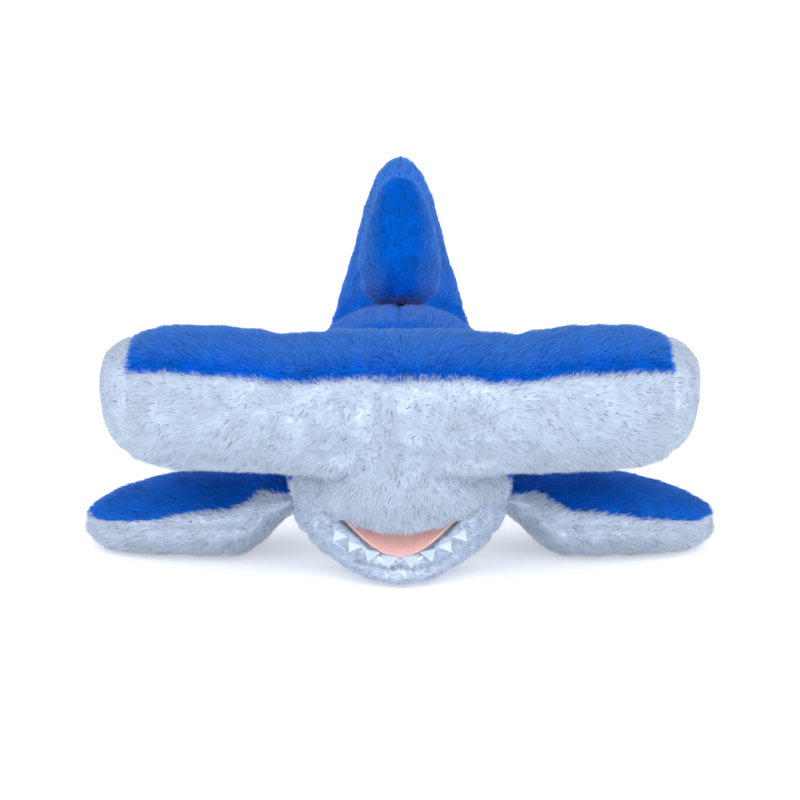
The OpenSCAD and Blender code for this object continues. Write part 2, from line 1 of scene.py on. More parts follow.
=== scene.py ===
# %% [markdown]
# # A plush hammerhead shark
# This file dresses a measured model of a soft toy in its fabric. The solids that it starts from
# are plain and a little angular: they say how big each stuffed chamber is, where each panel of
# plush starts and ends, and which pieces move. Everything you see is made here, in four steps:
# a cloth bag for each chamber, a pile of real strands on every panel, felt for the mouth and the
# teeth, and a plain studio to look at it in.
#
# The frame comes in first. All lengths are in metres, +Z is up and the nose points to -Y.

# %% Load the frame
import math

import bpy
import numpy as np
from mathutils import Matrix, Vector, bvhtree, kdtree


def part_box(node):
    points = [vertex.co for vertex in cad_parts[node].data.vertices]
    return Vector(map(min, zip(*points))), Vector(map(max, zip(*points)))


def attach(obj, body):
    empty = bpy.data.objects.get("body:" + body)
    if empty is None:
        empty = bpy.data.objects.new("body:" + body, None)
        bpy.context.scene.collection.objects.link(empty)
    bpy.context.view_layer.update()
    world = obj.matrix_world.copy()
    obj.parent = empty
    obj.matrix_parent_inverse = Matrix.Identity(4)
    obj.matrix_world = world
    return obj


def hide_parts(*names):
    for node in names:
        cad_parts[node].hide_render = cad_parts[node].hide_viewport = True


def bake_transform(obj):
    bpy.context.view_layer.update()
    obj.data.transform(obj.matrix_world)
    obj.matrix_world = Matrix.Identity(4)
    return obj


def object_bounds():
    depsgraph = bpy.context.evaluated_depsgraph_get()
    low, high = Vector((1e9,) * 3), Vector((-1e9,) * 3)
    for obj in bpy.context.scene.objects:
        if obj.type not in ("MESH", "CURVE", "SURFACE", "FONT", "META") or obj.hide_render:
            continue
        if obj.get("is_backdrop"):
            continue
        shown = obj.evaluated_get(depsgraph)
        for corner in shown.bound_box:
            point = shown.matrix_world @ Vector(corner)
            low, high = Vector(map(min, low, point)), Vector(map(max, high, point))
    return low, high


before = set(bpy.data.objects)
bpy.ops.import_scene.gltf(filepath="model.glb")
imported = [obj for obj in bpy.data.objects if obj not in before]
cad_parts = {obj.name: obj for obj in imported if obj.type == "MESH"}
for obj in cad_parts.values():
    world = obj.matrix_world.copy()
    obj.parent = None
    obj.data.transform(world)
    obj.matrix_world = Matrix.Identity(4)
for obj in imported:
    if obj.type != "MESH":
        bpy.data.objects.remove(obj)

cad_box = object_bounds()
print("The solids fill", [round(v, 3) for v in cad_box[0]], "to", [round(v, 3) for v in cad_box[1]])

# %% [markdown]
# ## The camera
# A long lens some way off keeps the wide head from bulging, as a product photographer would. It
# stands straight in front of the nose and looks down by ten degrees, which just opens up the top
# of the head and still shows the mouth.

# %% Set up the camera
look_down = math.radians(10)
stand_off = 1.230
camera_height = 0.325
nose_y = cad_box[0].y
camera_data = bpy.data.cameras.new("camera")
camera_data.sensor_width = 36
camera_data.lens = 109.8
camera_data.shift_y = -0.0025
camera = bpy.data.objects.new("camera", camera_data)
camera.location = (0, nose_y - stand_off, camera_height)
camera.rotation_euler = (math.pi / 2 - look_down, 0, 0)
bpy.context.scene.collection.objects.link(camera)
bpy.context.scene.camera = camera
print("Camera", stand_off, "m in front of the nose")

# %% [markdown]
# ## Helpers for meshes
# These small functions do the work that every later cell needs. Some read a solid's points, turn
# plain lists into an object, or bake an object's modifiers into its mesh. Modifiers could be left
# live, but a baked mesh leaves nothing to chance. The others are arithmetic on many points at once:
# soft steps, smooth lumps, and the outline of a cloud of points.

# %% Read, build and settle meshes
def cad_mesh(nodes):
    """The points and faces of some of the frame's solids, as one list of each."""
    points, faces = [], []
    for node in nodes:
        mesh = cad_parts[node].data
        faces += [[len(points) + v for v in p.vertices] for p in mesh.polygons]
        points += [v.co.copy() for v in mesh.vertices]
    return points, faces


def new_object(name, points, faces):
    mesh = bpy.data.meshes.new(name)
    mesh.from_pydata([tuple(p) for p in points], [], faces)
    mesh.update()
    made = bpy.data.objects.new(name, mesh)
    bpy.context.scene.collection.objects.link(made)
    return made


def settle(made):
    """Bake an object's modifiers into its mesh."""
    graph = bpy.context.evaluated_depsgraph_get()
    mesh = bpy.data.meshes.new_from_object(made.evaluated_get(graph))
    made.modifiers.clear()
    old, made.data = made.data, mesh
    bpy.data.meshes.remove(old)
    return made


def read_points(mesh):
    flat = np.empty(len(mesh.vertices) * 3)
    mesh.vertices.foreach_get("co", flat)
    return flat.reshape(-1, 3)


def write_points(mesh, points):
    mesh.vertices.foreach_set("co", np.asarray(points, float).reshape(-1))
    mesh.update()


def unit(vectors):
    return vectors / np.maximum(np.linalg.norm(vectors, axis=-1, keepdims=True), 1e-9)


def waves(points, size, seed):
    """Smooth lumps from about -1 to 1, each about the given size across."""
    rng = np.random.default_rng(seed)
    total = np.zeros(len(points))
    for _ in range(7):
        across = unit(rng.normal(size=3)) * rng.uniform(0.7, 1.5) * 2 * math.pi / size
        total += np.sin(points @ across + rng.uniform(0, 2 * math.pi))
    return total / 3


def fade(values, start, end):
    """From 0 at the start to 1 at the end, with soft shoulders."""
    t = np.clip((values - start) / (end - start), 0, 1)
    return t * t * (3 - 2 * t)


def edge_line(places, heights, top, at, step=0.004):
    """The highest, or the lowest, of the heights over each place, read off at other places."""
    slots = np.round(places / step).astype(int)
    known = np.unique(slots)
    pick = np.max if top else np.min
    line = [pick(heights[slots == s]) for s in known]
    return np.interp(at, known * step, line)


print("Mesh helpers ready for", len(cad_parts), "solids")

# %% [markdown]
# ## Stuffing a chamber
# A plush toy is a set of cloth bags. Each bag is cut from panels, sewn edge to edge and filled
# until it is firm. The panels belly out, and the seams, which can't stretch, stay in. You could
# model that with subdivision and hand-moved points, but a cloth simulation gives the swell and
# the little puckers beside a seam for nothing.
#
# The recipe: copy the solid, remesh it evenly so that the cloth has regular threads, pin the
# points near a seam, and let air pressure push from inside for twenty frames. The move is
# capped, so the toy keeps its size, and the seams are pressed in a little afterwards.

# %% Make a stuffed cloth bag
seam_reach = 0.0055
seam_depth = 0.0026
blow_frames = 20
least_height = 0.0012


def panel_distances(points, panels):
    """How far each point is from each panel: one column a panel."""
    columns = []
    for nodes in panels.values():
        tree = bvhtree.BVHTree.FromPolygons(*cad_mesh(nodes))
        columns.append([tree.find_nearest(p)[3] for p in points])
    return np.array(columns).T


def to_seam(distances):
    """The distance along the surface to the nearest seam, from the two nearest panels."""
    if distances.shape[1] < 2:
        return np.full(len(distances), 1.0)
    near = np.sort(distances, axis=1)
    return np.sqrt(np.maximum(near[:, 1] ** 2 - near[:, 0] ** 2, 0))


def blow_up(bag, sewn, swell, pressure):
    """Cloth simulation: pressure from inside, with the sewn points held."""
    start = read_points(bag.data)
    group = bag.vertex_groups.new(name="sewn")
    group.add([int(i) for i in np.flatnonzero(sewn)], 1.0, "REPLACE")
    cloth = bag.modifiers.new("fill", "CLOTH")
    cloth.settings.use_pressure = True
    cloth.settings.uniform_pressure_force = pressure
    cloth.settings.effector_weights.gravity = 0
    cloth.settings.quality = 6
    cloth.settings.mass = 0.2
    cloth.settings.tension_stiffness = 25
    cloth.settings.compression_stiffness = 12
    cloth.settings.bending_stiffness = 0.6
    cloth.settings.vertex_group_mass = "sewn"
    cloth.point_cache.frame_start = 1
    cloth.point_cache.frame_end = blow_frames
    for step in range(1, blow_frames + 1):
        bpy.context.scene.frame_set(step)
    settle(bag)
    bpy.context.scene.frame_set(1)
    move = read_points(bag.data) - start
    size = np.linalg.norm(move, axis=1, keepdims=True)
    write_points(bag.data, start + move * np.minimum(1, swell / np.maximum(size, 1e-9)))
    return float(size.max())


def stuffed_bag(name, fill, panels, voxel=0.005, shrink=0.0, swell=0.004, pressure=4.0,
                shape=None, seam_press=1.0, melt=None):
    """One chamber: a smooth closed bag over its fill, with its seams known and pressed in."""
    bag = new_object(name, *cad_mesh(fill))
    remesh = bag.modifiers.new("even", "REMESH")
    remesh.mode = "VOXEL"
    remesh.voxel_size = voxel
    settle(bag)
    smooth = bag.modifiers.new("smooth", "SMOOTH")
    smooth.iterations = 3
    settle(bag)
    if shrink:
        normals = np.array([v.normal for v in bag.data.vertices])
        write_points(bag.data, read_points(bag.data) - normals * shrink)
    if melt:
        y = read_points(bag.data)[:, 1]
        share = fade(y, *melt[:2]) * (1 - fade(y, *melt[2:]))
        waist = bag.vertex_groups.new(name="waist")
        for index in np.flatnonzero(share > 0.01):
            waist.add([int(index)], float(share[index]), "REPLACE")
        taper = bag.modifiers.new("taper", "SMOOTH")
        taper.vertex_group = "waist"
        taper.iterations = 60
        settle(bag)
        bag.vertex_groups.clear()
    if shape:
        write_points(bag.data, shape(read_points(bag.data)))
        bag.modifiers.new("smooth", "SMOOTH").iterations = 2
        settle(bag)
    moved = 0.0
    points = read_points(bag.data)
    sewn = to_seam(panel_distances(points, panels)) < seam_reach * 0.6
    moved = blow_up(bag, sewn, swell, pressure)
    smooth = bag.modifiers.new("smooth", "SMOOTH")
    smooth.iterations = 2
    bag.modifiers.new("fine", "SUBSURF").levels = 1
    settle(bag)
    mesh = bag.data
    points = read_points(mesh)
    distances = panel_distances(points, panels)
    seam = to_seam(distances)
    normals = np.array([v.normal for v in mesh.vertices])
    press = seam_depth * seam_press * np.clip(1 - seam / seam_reach, 0, 1) ** 2
    points = points - normals * press[:, None]
    points[:, 2] = np.maximum(points[:, 2], least_height)
    write_points(mesh, points)
    mesh.calc_loop_triangles()
    chamber = {
        "name": name, "bag": bag, "panels": list(panels), "points": points,
        "normals": np.array([v.normal for v in mesh.vertices]),
        "triangles": np.array([t.vertices[:] for t in mesh.loop_triangles]),
        "distances": distances,
    }
    print(f"{name}: {len(points)} points, cloth moved up to {moved * 1000:.1f} mm")
    return chamber


def shift_seam(chamber, panel, reach):
    """Let one panel reach a little further over its neighbours."""
    chamber["distances"][:, chamber["panels"].index(panel)] -= reach


# %% [markdown]
# ## Tailoring the chambers
# A stuffed bag never comes out exactly as its pattern, so a maker teases the stuffing about
# before closing the seam. These rules do the same, each for one chamber, and each only moves
# points by a few millimetres. The lip and the jaw share one smile line, so that they close
# against each other at the corners of the mouth and open only between them.

# %% Say how each chamber is teased into shape
smile_at = [0, 0.015, 0.030, 0.044, 0.056]
lip_heights = [0.0335, 0.0350, 0.0388, 0.0430, 0.0490]
rim_heights = [0.0190, 0.0240, 0.0375, 0.0475, 0.0570]
lip_top = 0.062
eye_turn = math.radians(38)
dome_height = 0.0062
dorsal_at = [0.124, 0.130, 0.140, 0.155, 0.168, 0.176, 0.186, 0.191, 0.195]
dorsal_half_widths = [0.0200, 0.0218, 0.0222, 0.0208, 0.0186, 0.0160, 0.0122, 0.0086, 0.0035]


def raise_lip(points):
    """Bring the lower edge of the snout up to the smile line."""
    x = np.abs(points[:, 0])
    snout = (x < 0.060) & (points[:, 1] < -0.146) & (points[:, 2] < lip_top)
    low = edge_line(x[snout], points[snout, 2], False, x[snout])
    share = np.clip((lip_top - points[snout, 2]) / (lip_top - low), 0, 1)
    lift = np.interp(x[snout], smile_at, lip_heights) - low
    points[snout, 2] += lift * share
    return points


def shape_head(points):
    """Fill out the brow over the snout and round off the two ends."""
    points = raise_lip(points)
    x, z = np.abs(points[:, 0]), points[:, 2]
    front = 1 - fade(points[:, 1], -0.190, -0.170)
    middle = 1 - fade(x, 0.040, 0.065)
    under = fade(z, 0.036, 0.054) * (1 - fade(z, 0.066, 0.078))
    points[:, 1] -= 0.010 * front * middle * under
    low_end = fade(x, 0.105, 0.150) * (1 - fade(z, 0.075, 0.095))
    end = fade(x, 0.130, 0.155)
    points[:, 0] += np.sign(points[:, 0]) * (0.0020 * low_end + 0.0022 * end)
    points[:, 2] -= 0.0020 * low_end + 0.0028 * fade(x, 0.118, 0.150) * fade(z, 0.112, 0.128)
    return seat_eyes(points)


def seat_eyes(points):
    """Fill the bag out behind each eye, so that its dome rests on the cloth."""
    for side, sign in (("left", 1), ("right", -1)):
        way = np.array([sign * math.cos(eye_turn), math.sin(eye_turn), 0])
        eye = np.array(cad_mesh(["safety_eye_" + side])[0])
        apex = eye[(eye @ way).argmax()]
        depth = (points - apex) @ way + dome_height
        aside = np.linalg.norm(points - apex - np.outer((points - apex) @ way, way), axis=1)
        near = (1 - fade(aside, 0.008, 0.026)) * (depth > -0.022)
        points -= np.outer(np.minimum(depth, 0) * near, way)
    return points


def shape_jaw(points):
    """Bring the rim of the jaw to the smile line."""
    x, y, z = np.abs(points[:, 0]), points[:, 1], points[:, 2]
    lip = y < edge_line(x, y, False, x) + 0.009
    rim = edge_line(x[lip], z[lip], True, x)
    low = edge_line(x[lip], z[lip], False, x)
    lift = np.interp(x, smile_at, rim_heights) - rim
    points[:, 2] += lift * np.clip((points[:, 2] - low) / (rim - low), 0, 1)
    points[:, 2] = np.maximum(points[:, 2], 0.0040)
    return points


def shape_body(points):
    """Broaden the shoulders and the root of the tail a little."""
    y, z = points[:, 1], points[:, 2]
    shoulder = (1 - fade(y, -0.060, -0.020)) * fade(z, 0.012, 0.030) * (1 - fade(z, 0.065, 0.085))
    tail = fade(y, 0.100, 0.140) * (1 - fade(z, 0.110, 0.150))
    points[:, 0] *= 1 + 0.06 * shoulder + 0.07 * tail
    points[:, 2] += 0.0020 * fade(z, 0.170, 0.198)
    return points


def even_hem(chamber):
    """Run the belly's edge past the waist in one smooth line."""
    points, gaps = chamber["points"], chamber["distances"]
    y, z, belly = points[:, 1], points[:, 2], chamber["panels"].index("belly")
    mine = gaps.argmin(axis=1) == belly
    grid = np.arange(-0.040, 0.170, 0.004)
    hem = edge_line(y[mine] + 1, z[mine], True, grid + 1)
    window = np.hanning(19) / np.hanning(19).sum()
    hem = np.convolve(np.pad(hem, 9, mode="edge"), window, mode="valid")
    zone = (y > 0.000) & (y < 0.130)
    others = np.delete(gaps, belly, axis=1).min(axis=1)
    gaps[zone, belly] = others[zone] + z[zone] - np.interp(y[zone], grid, hem)


def shape_lobe(points):
    """Tuck the top of the lower tail lobe up into the tail."""
    z = points[:, 2]
    share = fade(z, 0.034, 0.057)
    points[:, 0] *= 1.25
    points[:, 1] -= 0.004 * share
    points[:, 2] += 0.012 * share
    return points


def shape_dorsal(points):
    """Widen the fin evenly from its tip to its root, and sink the root into the back."""
    z = points[:, 2]
    x = np.abs(points[:, 0])
    widest = edge_line(z, x, True, z)
    wanted = np.interp(z, dorsal_at, dorsal_half_widths)
    points[:, 0] *= np.clip(wanted / np.maximum(widest, 0.003), 0.5, 2.4)
    points[:, 2] += 0.0050 * fade(z, 0.160, 0.190) - 0.0070 * (1 - fade(z, 0.124, 0.146))
    return points


def shape_fin(points):
    """Tuck the root of a side fin into the flank."""
    x = np.abs(points[:, 0])
    points[:, 0] -= np.sign(points[:, 0]) * 0.010 * (1 - fade(x, 0.064, 0.084))
    return points


print("Smile line from", rim_heights[0], "to", rim_heights[-1], "m")

# %% [markdown]
# ## The chambers of this toy
# The head is a wide bolster with four panels. The body and the tail are one long bag: a real one
# is filled through a slit in the belly, and the seam where the tail bends doesn't close it off.
# Each fin is a bag of its own, sewn on along its root, and so is the soft lower jaw, whose top is
# lined with felt instead of plush. On the side fins the white cloth wraps some way over the
# leading edge.

# %% Stuff every chamber
chambers = {
    "head": stuffed_bag("head_bag", ["hammer_stuffing", "snout_stuffing", "snout_panel"], {
        "hammer_top": ["hammer_top_panel"],
        "hammer_front": ["hammer_front_panel"],
        "end_cap_left": ["hammer_end_cap_left"],
        "end_cap_right": ["hammer_end_cap_right"],
        "snout": ["snout_panel"],
    }, voxel=0.004, shrink=-0.0014, shape=shape_head, seam_press=0.6),
    "body": stuffed_bag("body_bag", ["body_stuffing", "tail_stuffing", "caudal_stuffing"], {
        "back_left": ["back_panel_left", "tail_panel_left"],
        "back_right": ["back_panel_right", "tail_panel_right"],
        "belly": ["belly_panel", "tail_belly_panel"],
        "caudal_left": ["caudal_panel_left"],
        "caudal_right": ["caudal_panel_right"],
    }, voxel=0.006, shrink=-0.0018, shape=shape_body, melt=(0.015, 0.045, 0.085, 0.120)),
    "jaw": stuffed_bag("jaw_bag", ["lower_jaw_panel", "cheek_panel_left", "cheek_panel_right",
                                   "jaw_stuffing", "mouth_lining"], {
        "lower_jaw": ["lower_jaw_panel"],
        "cheek_left": ["cheek_panel_left"],
        "cheek_right": ["cheek_panel_right"],
        "lip_lining": ["mouth_lining"],
    }, voxel=0.0024, shrink=0.0004, swell=0.001, shape=shape_jaw),
    "dorsal": stuffed_bag("dorsal_bag", ["dorsal_stuffing"], {
        "dorsal_left": ["dorsal_panel_left"],
        "dorsal_right": ["dorsal_panel_right"],
    }, voxel=0.004, swell=0.002, shape=shape_dorsal, seam_press=0.25),
    "lobe": stuffed_bag("lobe_bag", ["lower_lobe_stuffing"], {
        "lobe_left": ["lower_lobe_left"],
        "lobe_right": ["lower_lobe_right"],
    }, voxel=0.003, swell=0.002, shape=shape_lobe),
}
white_reach_at = [0.060, 0.066, 0.076, 0.090, 0.110, 0.130]
white_reaches = [0.001, 0.003, 0.007, 0.011, 0.009, 0.005]
for side in ("left", "right"):
    chambers["fin_" + side] = stuffed_bag(f"fin_{side}_bag", [f"pectoral_{side}_stuffing"], {
        f"fin_{side}_top": [f"pectoral_{side}_top"],
        f"fin_{side}_bottom": [f"pectoral_{side}_bottom"],
    }, shrink=-0.0015, swell=0.003, shape=shape_fin)
    fin = chambers["fin_" + side]
    white_reach = np.interp(np.abs(fin["points"][:, 0]), white_reach_at, white_reaches)
    shift_seam(fin, f"fin_{side}_bottom", white_reach)
jaw = chambers["jaw"]
jaw_surface = bvhtree.BVHTree.FromPolygons(
    [Vector(p) for p in jaw["points"]], [list(p.vertices) for p in jaw["bag"].data.polygons])
even_hem(chambers["body"])
print(len(chambers), "chambers stuffed")

# %% [markdown]
# ## Fabric colours
# The plush is dyed, so its own colour is the same everywhere, and all the life comes from the pile.
# Its colour is painted darker at each strand's root, as painted shade, and paler at the tip, as a
# painted highlight, and each tuft is a tone off its neighbour. Where the cloth faces up a paler
# colour is painted in as painted top light and sheen, on the sides of the upright fin as painted
# sheen, and towards the tips of the side fins as painted light; the tail fin is paler all over, most
# at its tip.
# One node group does this for every plush on the toy. It reads four values that each strand carries:
# how far along the strand you are, a number of its own, the tone of its patch, and how much of the
# pale colour shows. The group gives out only a colour, and each material keeps its own shader.

# %% Build the pile colour group
def socket(group, name, kind, way, value=None):
    made = group.interface.new_socket(name=name, in_out=way, socket_type="NodeSocket" + kind)
    if value is not None:
        made.default_value = value
    return made


def mix_colour(tree, blend="MIX"):
    node = tree.nodes.new("ShaderNodeMix")
    node.data_type = "RGBA"
    node.blend_type = blend
    node.clamp_factor = True
    return node


def attribute(tree, name):
    node = tree.nodes.new("ShaderNodeAttribute")
    node.attribute_name = name
    return node.outputs["Fac"]


def ramp_value(tree, value, low, high, to_low, to_high):
    node = tree.nodes.new("ShaderNodeMapRange")
    tree.links.new(value, node.inputs["Value"])
    for name, number in (("From Min", low), ("From Max", high),
                         ("To Min", to_low), ("To Max", to_high)):
        node.inputs[name].default_value = number
    return node.outputs["Result"]


def pile_group():
    group = bpy.data.node_groups.new("Pile colour", "ShaderNodeTree")
    socket(group, "Root", "Color", "INPUT", (0.5, 0.5, 0.5, 1))
    socket(group, "Middle", "Color", "INPUT", (0.6, 0.6, 0.6, 1))
    socket(group, "Tip", "Color", "INPUT", (0.8, 0.8, 0.8, 1))
    socket(group, "Pale colour", "Color", "INPUT", (0.8, 0.8, 0.8, 1))
    socket(group, "Variation", "Float", "INPUT", 0.15)
    socket(group, "Colour", "Color", "OUTPUT")
    ins = group.nodes.new("NodeGroupInput").outputs
    out = group.nodes.new("NodeGroupOutput").inputs
    # Root to tip: painted shade at the root, a painted highlight at the tip.
    along = attribute(group, "along")
    lower = mix_colour(group)
    group.links.new(ramp_value(group, along, 0.0, 0.55, 0, 1), lower.inputs["Factor"])
    group.links.new(ins["Root"], lower.inputs["A"])
    group.links.new(ins["Middle"], lower.inputs["B"])
    upper = mix_colour(group)
    group.links.new(ramp_value(group, along, 0.5, 1.0, 0, 1), upper.inputs["Factor"])
    group.links.new(lower.outputs["Result"], upper.inputs["A"])
    group.links.new(ins["Tip"], upper.inputs["B"])
    both = group.nodes.new("ShaderNodeMath")
    both.operation = "ADD"
    group.links.new(ramp_value(group, attribute(group, "strand"), 0, 1, -0.5, 0.5), both.inputs[0])
    group.links.new(ramp_value(group, attribute(group, "patch"), -1, 1, -0.6, 0.6), both.inputs[1])
    scaled = group.nodes.new("ShaderNodeMath")
    scaled.operation = "MULTIPLY_ADD"
    group.links.new(both.outputs[0], scaled.inputs[0])
    group.links.new(ins["Variation"], scaled.inputs[1])
    scaled.inputs[2].default_value = 1.0
    shade = mix_colour(group, "MULTIPLY")
    shade.inputs["Factor"].default_value = 1.0
    group.links.new(upper.outputs["Result"], shade.inputs["A"])
    group.links.new(scaled.outputs[0], shade.inputs["B"])
    # Painted top light and sheen: mix towards the pale colour by each strand's share; on the tail fin
    # the same mix gives a paler tone.
    nap = mix_colour(group)
    group.links.new(attribute(group, "nap"), nap.inputs["Factor"])
    group.links.new(shade.outputs["Result"], nap.inputs["A"])
    group.links.new(ins["Pale colour"], nap.inputs["B"])
    group.links.new(nap.outputs["Result"], out["Colour"])
    return group


pile_colour = pile_group()
print("Group", pile_colour.name, "with", len(pile_colour.nodes), "nodes")

# %% [markdown]
# Under the pile is a knitted backing, and in the mouth is felt. Both are a flat cloth with a fine
# structure, so they share a second group: fibres that cross at random, some lighter and some
# darker, and the same pattern as a height for the bump. The size of the fibres is an input, so
# felt can be finer than backing.

# %% Build the cloth fibre group
def fibre_group():
    group = bpy.data.node_groups.new("Cloth fibres", "ShaderNodeTree")
    socket(group, "Base", "Color", "INPUT", (0.8, 0.8, 0.8, 1))
    socket(group, "Shade", "Color", "INPUT", (0.6, 0.6, 0.6, 1))
    socket(group, "Fibres per metre", "Float", "INPUT", 900.0)
    socket(group, "Contrast", "Float", "INPUT", 0.5)
    socket(group, "Colour", "Color", "OUTPUT")
    socket(group, "Height", "Float", "OUTPUT")
    ins = group.nodes.new("NodeGroupInput").outputs
    out = group.nodes.new("NodeGroupOutput").inputs
    place = group.nodes.new("ShaderNodeTexCoord").outputs["Object"]
    fine = group.nodes.new("ShaderNodeTexNoise")
    fine.inputs["Detail"].default_value = 4
    fine.inputs["Distortion"].default_value = 1.2
    group.links.new(place, fine.inputs["Vector"])
    group.links.new(ins["Fibres per metre"], fine.inputs["Scale"])
    broad = group.nodes.new("ShaderNodeTexNoise")
    broad.inputs["Scale"].default_value = 90
    group.links.new(place, broad.inputs["Vector"])
    total = group.nodes.new("ShaderNodeMath")
    total.operation = "MULTIPLY_ADD"
    total.inputs[1].default_value = 0.4
    group.links.new(broad.outputs["Fac"], total.inputs[0])
    group.links.new(fine.outputs["Fac"], total.inputs[2])
    amount = group.nodes.new("ShaderNodeMath")
    amount.operation = "MULTIPLY"
    group.links.new(ramp_value(group, total.outputs[0], 0.4, 1.0, 0, 1), amount.inputs[0])
    group.links.new(ins["Contrast"], amount.inputs[1])
    colour = mix_colour(group)
    group.links.new(amount.outputs[0], colour.inputs["Factor"])
    group.links.new(ins["Base"], colour.inputs["A"])
    group.links.new(ins["Shade"], colour.inputs["B"])
    group.links.new(colour.outputs["Result"], out["Colour"])
    group.links.new(fine.outputs["Fac"], out["Height"])
    return group


cloth_fibres = fibre_group()
print("Group", cloth_fibres.name, "with", len(cloth_fibres.nodes), "nodes")

# %% [markdown]
# ## The materials
# Fabric has no gloss, but it has sheen: at a glancing angle the fibre ends light up, which is why
# the rim of a blue plush fin looks pale, helped on the upright fin by painted sheen in the pile
# colour.
# The sheen is a plain number on each shader. A single fibre is also thin enough for light to come
# through, so half of each strand's shading is a translucent shader of the same colour; without it the
# gaps between the tufts turn sooty. Colours are picked for what the cloth is, plus the painted shade,
# highlight and sheen that the pile colour group adds, and the lights do the rest.

# %% Make the plush, cloth and felt materials
def linear(red, green, blue):
    """A colour as a dyer's card gives it, 0 to 255, in the light that Blender works in."""
    return tuple((c / 255 / 12.92 if c <= 10 else ((c / 255 + 0.055) / 1.055) ** 2.4)
                 for c in (red, green, blue)) + (1.0,)


def material_with(name, roughness, sheen, sheen_tint):
    made = bpy.data.materials.new(name)
    made.use_nodes = True
    shader = made.node_tree.nodes["Principled BSDF"]
    shader.inputs["Roughness"].default_value = roughness
    shader.inputs["Specular IOR Level"].default_value = 0.2
    shader.inputs["Sheen Weight"].default_value = sheen
    shader.inputs["Sheen Roughness"].default_value = 0.45
    shader.inputs["Sheen Tint"].default_value = sheen_tint
    return made, shader


def pile_material(name, root, middle, tip, nap, variation, sheen, sheen_tint):
    made, shader = material_with(name, 0.85, sheen, sheen_tint)
    shader.inputs["Specular IOR Level"].default_value = 0.02
    shader.inputs["Sheen Roughness"].default_value = 0.3
    group = made.node_tree.nodes.new("ShaderNodeGroup")
    group.node_tree = pile_colour
    group.inputs["Root"].default_value = root
    group.inputs["Middle"].default_value = middle
    group.inputs["Tip"].default_value = tip
    group.inputs["Pale colour"].default_value = nap
    group.inputs["Variation"].default_value = variation
    tree = made.node_tree
    glow = tree.nodes.new("ShaderNodeBsdfTranslucent")
    both = tree.nodes.new("ShaderNodeMixShader")
    both.inputs["Fac"].default_value = 0.5
    tree.links.new(group.outputs["Colour"], shader.inputs["Base Color"])
    tree.links.new(group.outputs["Colour"], glow.inputs["Color"])
    tree.links.new(shader.outputs["BSDF"], both.inputs[1])
    tree.links.new(glow.outputs["BSDF"], both.inputs[2])
    tree.links.new(both.outputs["Shader"], tree.nodes["Material Output"].inputs["Surface"])
    return made


def cloth_material(name, base, shade, fibres, contrast, bump, sheen=0.2, roughness=0.9):
    made, shader = material_with(name, roughness, sheen, (1, 1, 1, 1))
    tree = made.node_tree
    group = tree.nodes.new("ShaderNodeGroup")
    group.node_tree = cloth_fibres
    group.inputs["Base"].default_value = base
    group.inputs["Shade"].default_value = shade
    group.inputs["Fibres per metre"].default_value = fibres
    group.inputs["Contrast"].default_value = contrast
    relief = tree.nodes.new("ShaderNodeBump")
    relief.inputs["Strength"].default_value = bump
    relief.inputs["Distance"].default_value = 0.0004
    tree.links.new(group.outputs["Colour"], shader.inputs["Base Color"])
    tree.links.new(group.outputs["Height"], relief.inputs["Height"])
    tree.links.new(relief.outputs["Normal"], shader.inputs["Normal"])
    return made


pale_sheen = (0.75, 0.85, 1.0, 1)
# Root, middle and tip run from painted shade at the root to a painted highlight at the tip. The
# fourth colour is the pale colour: painted top light and sheen, and the tail fin's paler tone.
finishes = {
    "blue_plush": pile_material(
        "blue plush", linear(0, 112, 230), linear(0, 134, 246), linear(6, 148, 253),
        linear(108, 182, 254), 0.14, 0.5, pale_sheen),
    "white_plush": pile_material(
        "white plush", linear(229, 239, 253), linear(232, 241, 253), linear(236, 244, 254),
        linear(238, 246, 255), 0.04, 0.15, (1, 1, 1, 1)),
    "short_white_plush": pile_material(
        "short white plush", linear(216, 227, 244), linear(220, 230, 246), linear(224, 234, 248),
        linear(226, 236, 250), 0.03, 0.15, (1, 1, 1, 1)),
}
backings = {
    "blue_plush": cloth_material(
        "blue backing", linear(0, 104, 216), linear(0, 88, 190), 1100, 0.8, 0.4),
    "white_plush": cloth_material(
        "white backing", linear(231, 240, 253), linear(219, 231, 250), 1100, 0.6, 0.4),
    "short_white_plush": cloth_material(
        "short white backing", linear(220, 230, 245), linear(211, 223, 242), 1100, 0.5, 0.4),
}
pink_felt = cloth_material(
    "pink felt", linear(250, 200, 194), linear(241, 184, 177), 2600, 0.7, 0.6, 0.3)
white_felt = cloth_material(
    "white felt", linear(206, 219, 242), linear(195, 210, 236), 2600, 0.6, 0.5, 0.3)
label_satin = cloth_material(
    "label satin", linear(238, 240, 246), linear(220, 224, 234), 3200, 0.4, 0.3, 0.1, 0.45)
print(len(bpy.data.materials), "materials so far")

# %% [markdown]
# ## Cutting the skins
# Each panel of the toy is a piece of cloth, so each gets an object of its own, cut from its
# chamber's bag: a face belongs to the panel that lies nearest to it. Panels that cross a joint,
# such as the back, are one piece, as the real cloth is.

# %% Cut one skin for each panel
def cut_skin(chamber, panel, name, material):
    owner = chamber["distances"].argmin(axis=1)
    wanted = chamber["panels"].index(panel)
    faces = [list(p.vertices) for p in chamber["bag"].data.polygons
             if np.bincount(owner[list(p.vertices)], minlength=len(chamber["panels"])).argmax()
             == wanted]
    used = sorted({v for face in faces for v in face})
    number = {v: i for i, v in enumerate(used)}
    skin = new_object(name, chamber["points"][used], [[number[v] for v in f] for f in faces])
    skin.data.materials.append(material)
    skin.data.shade_smooth()
    return skin


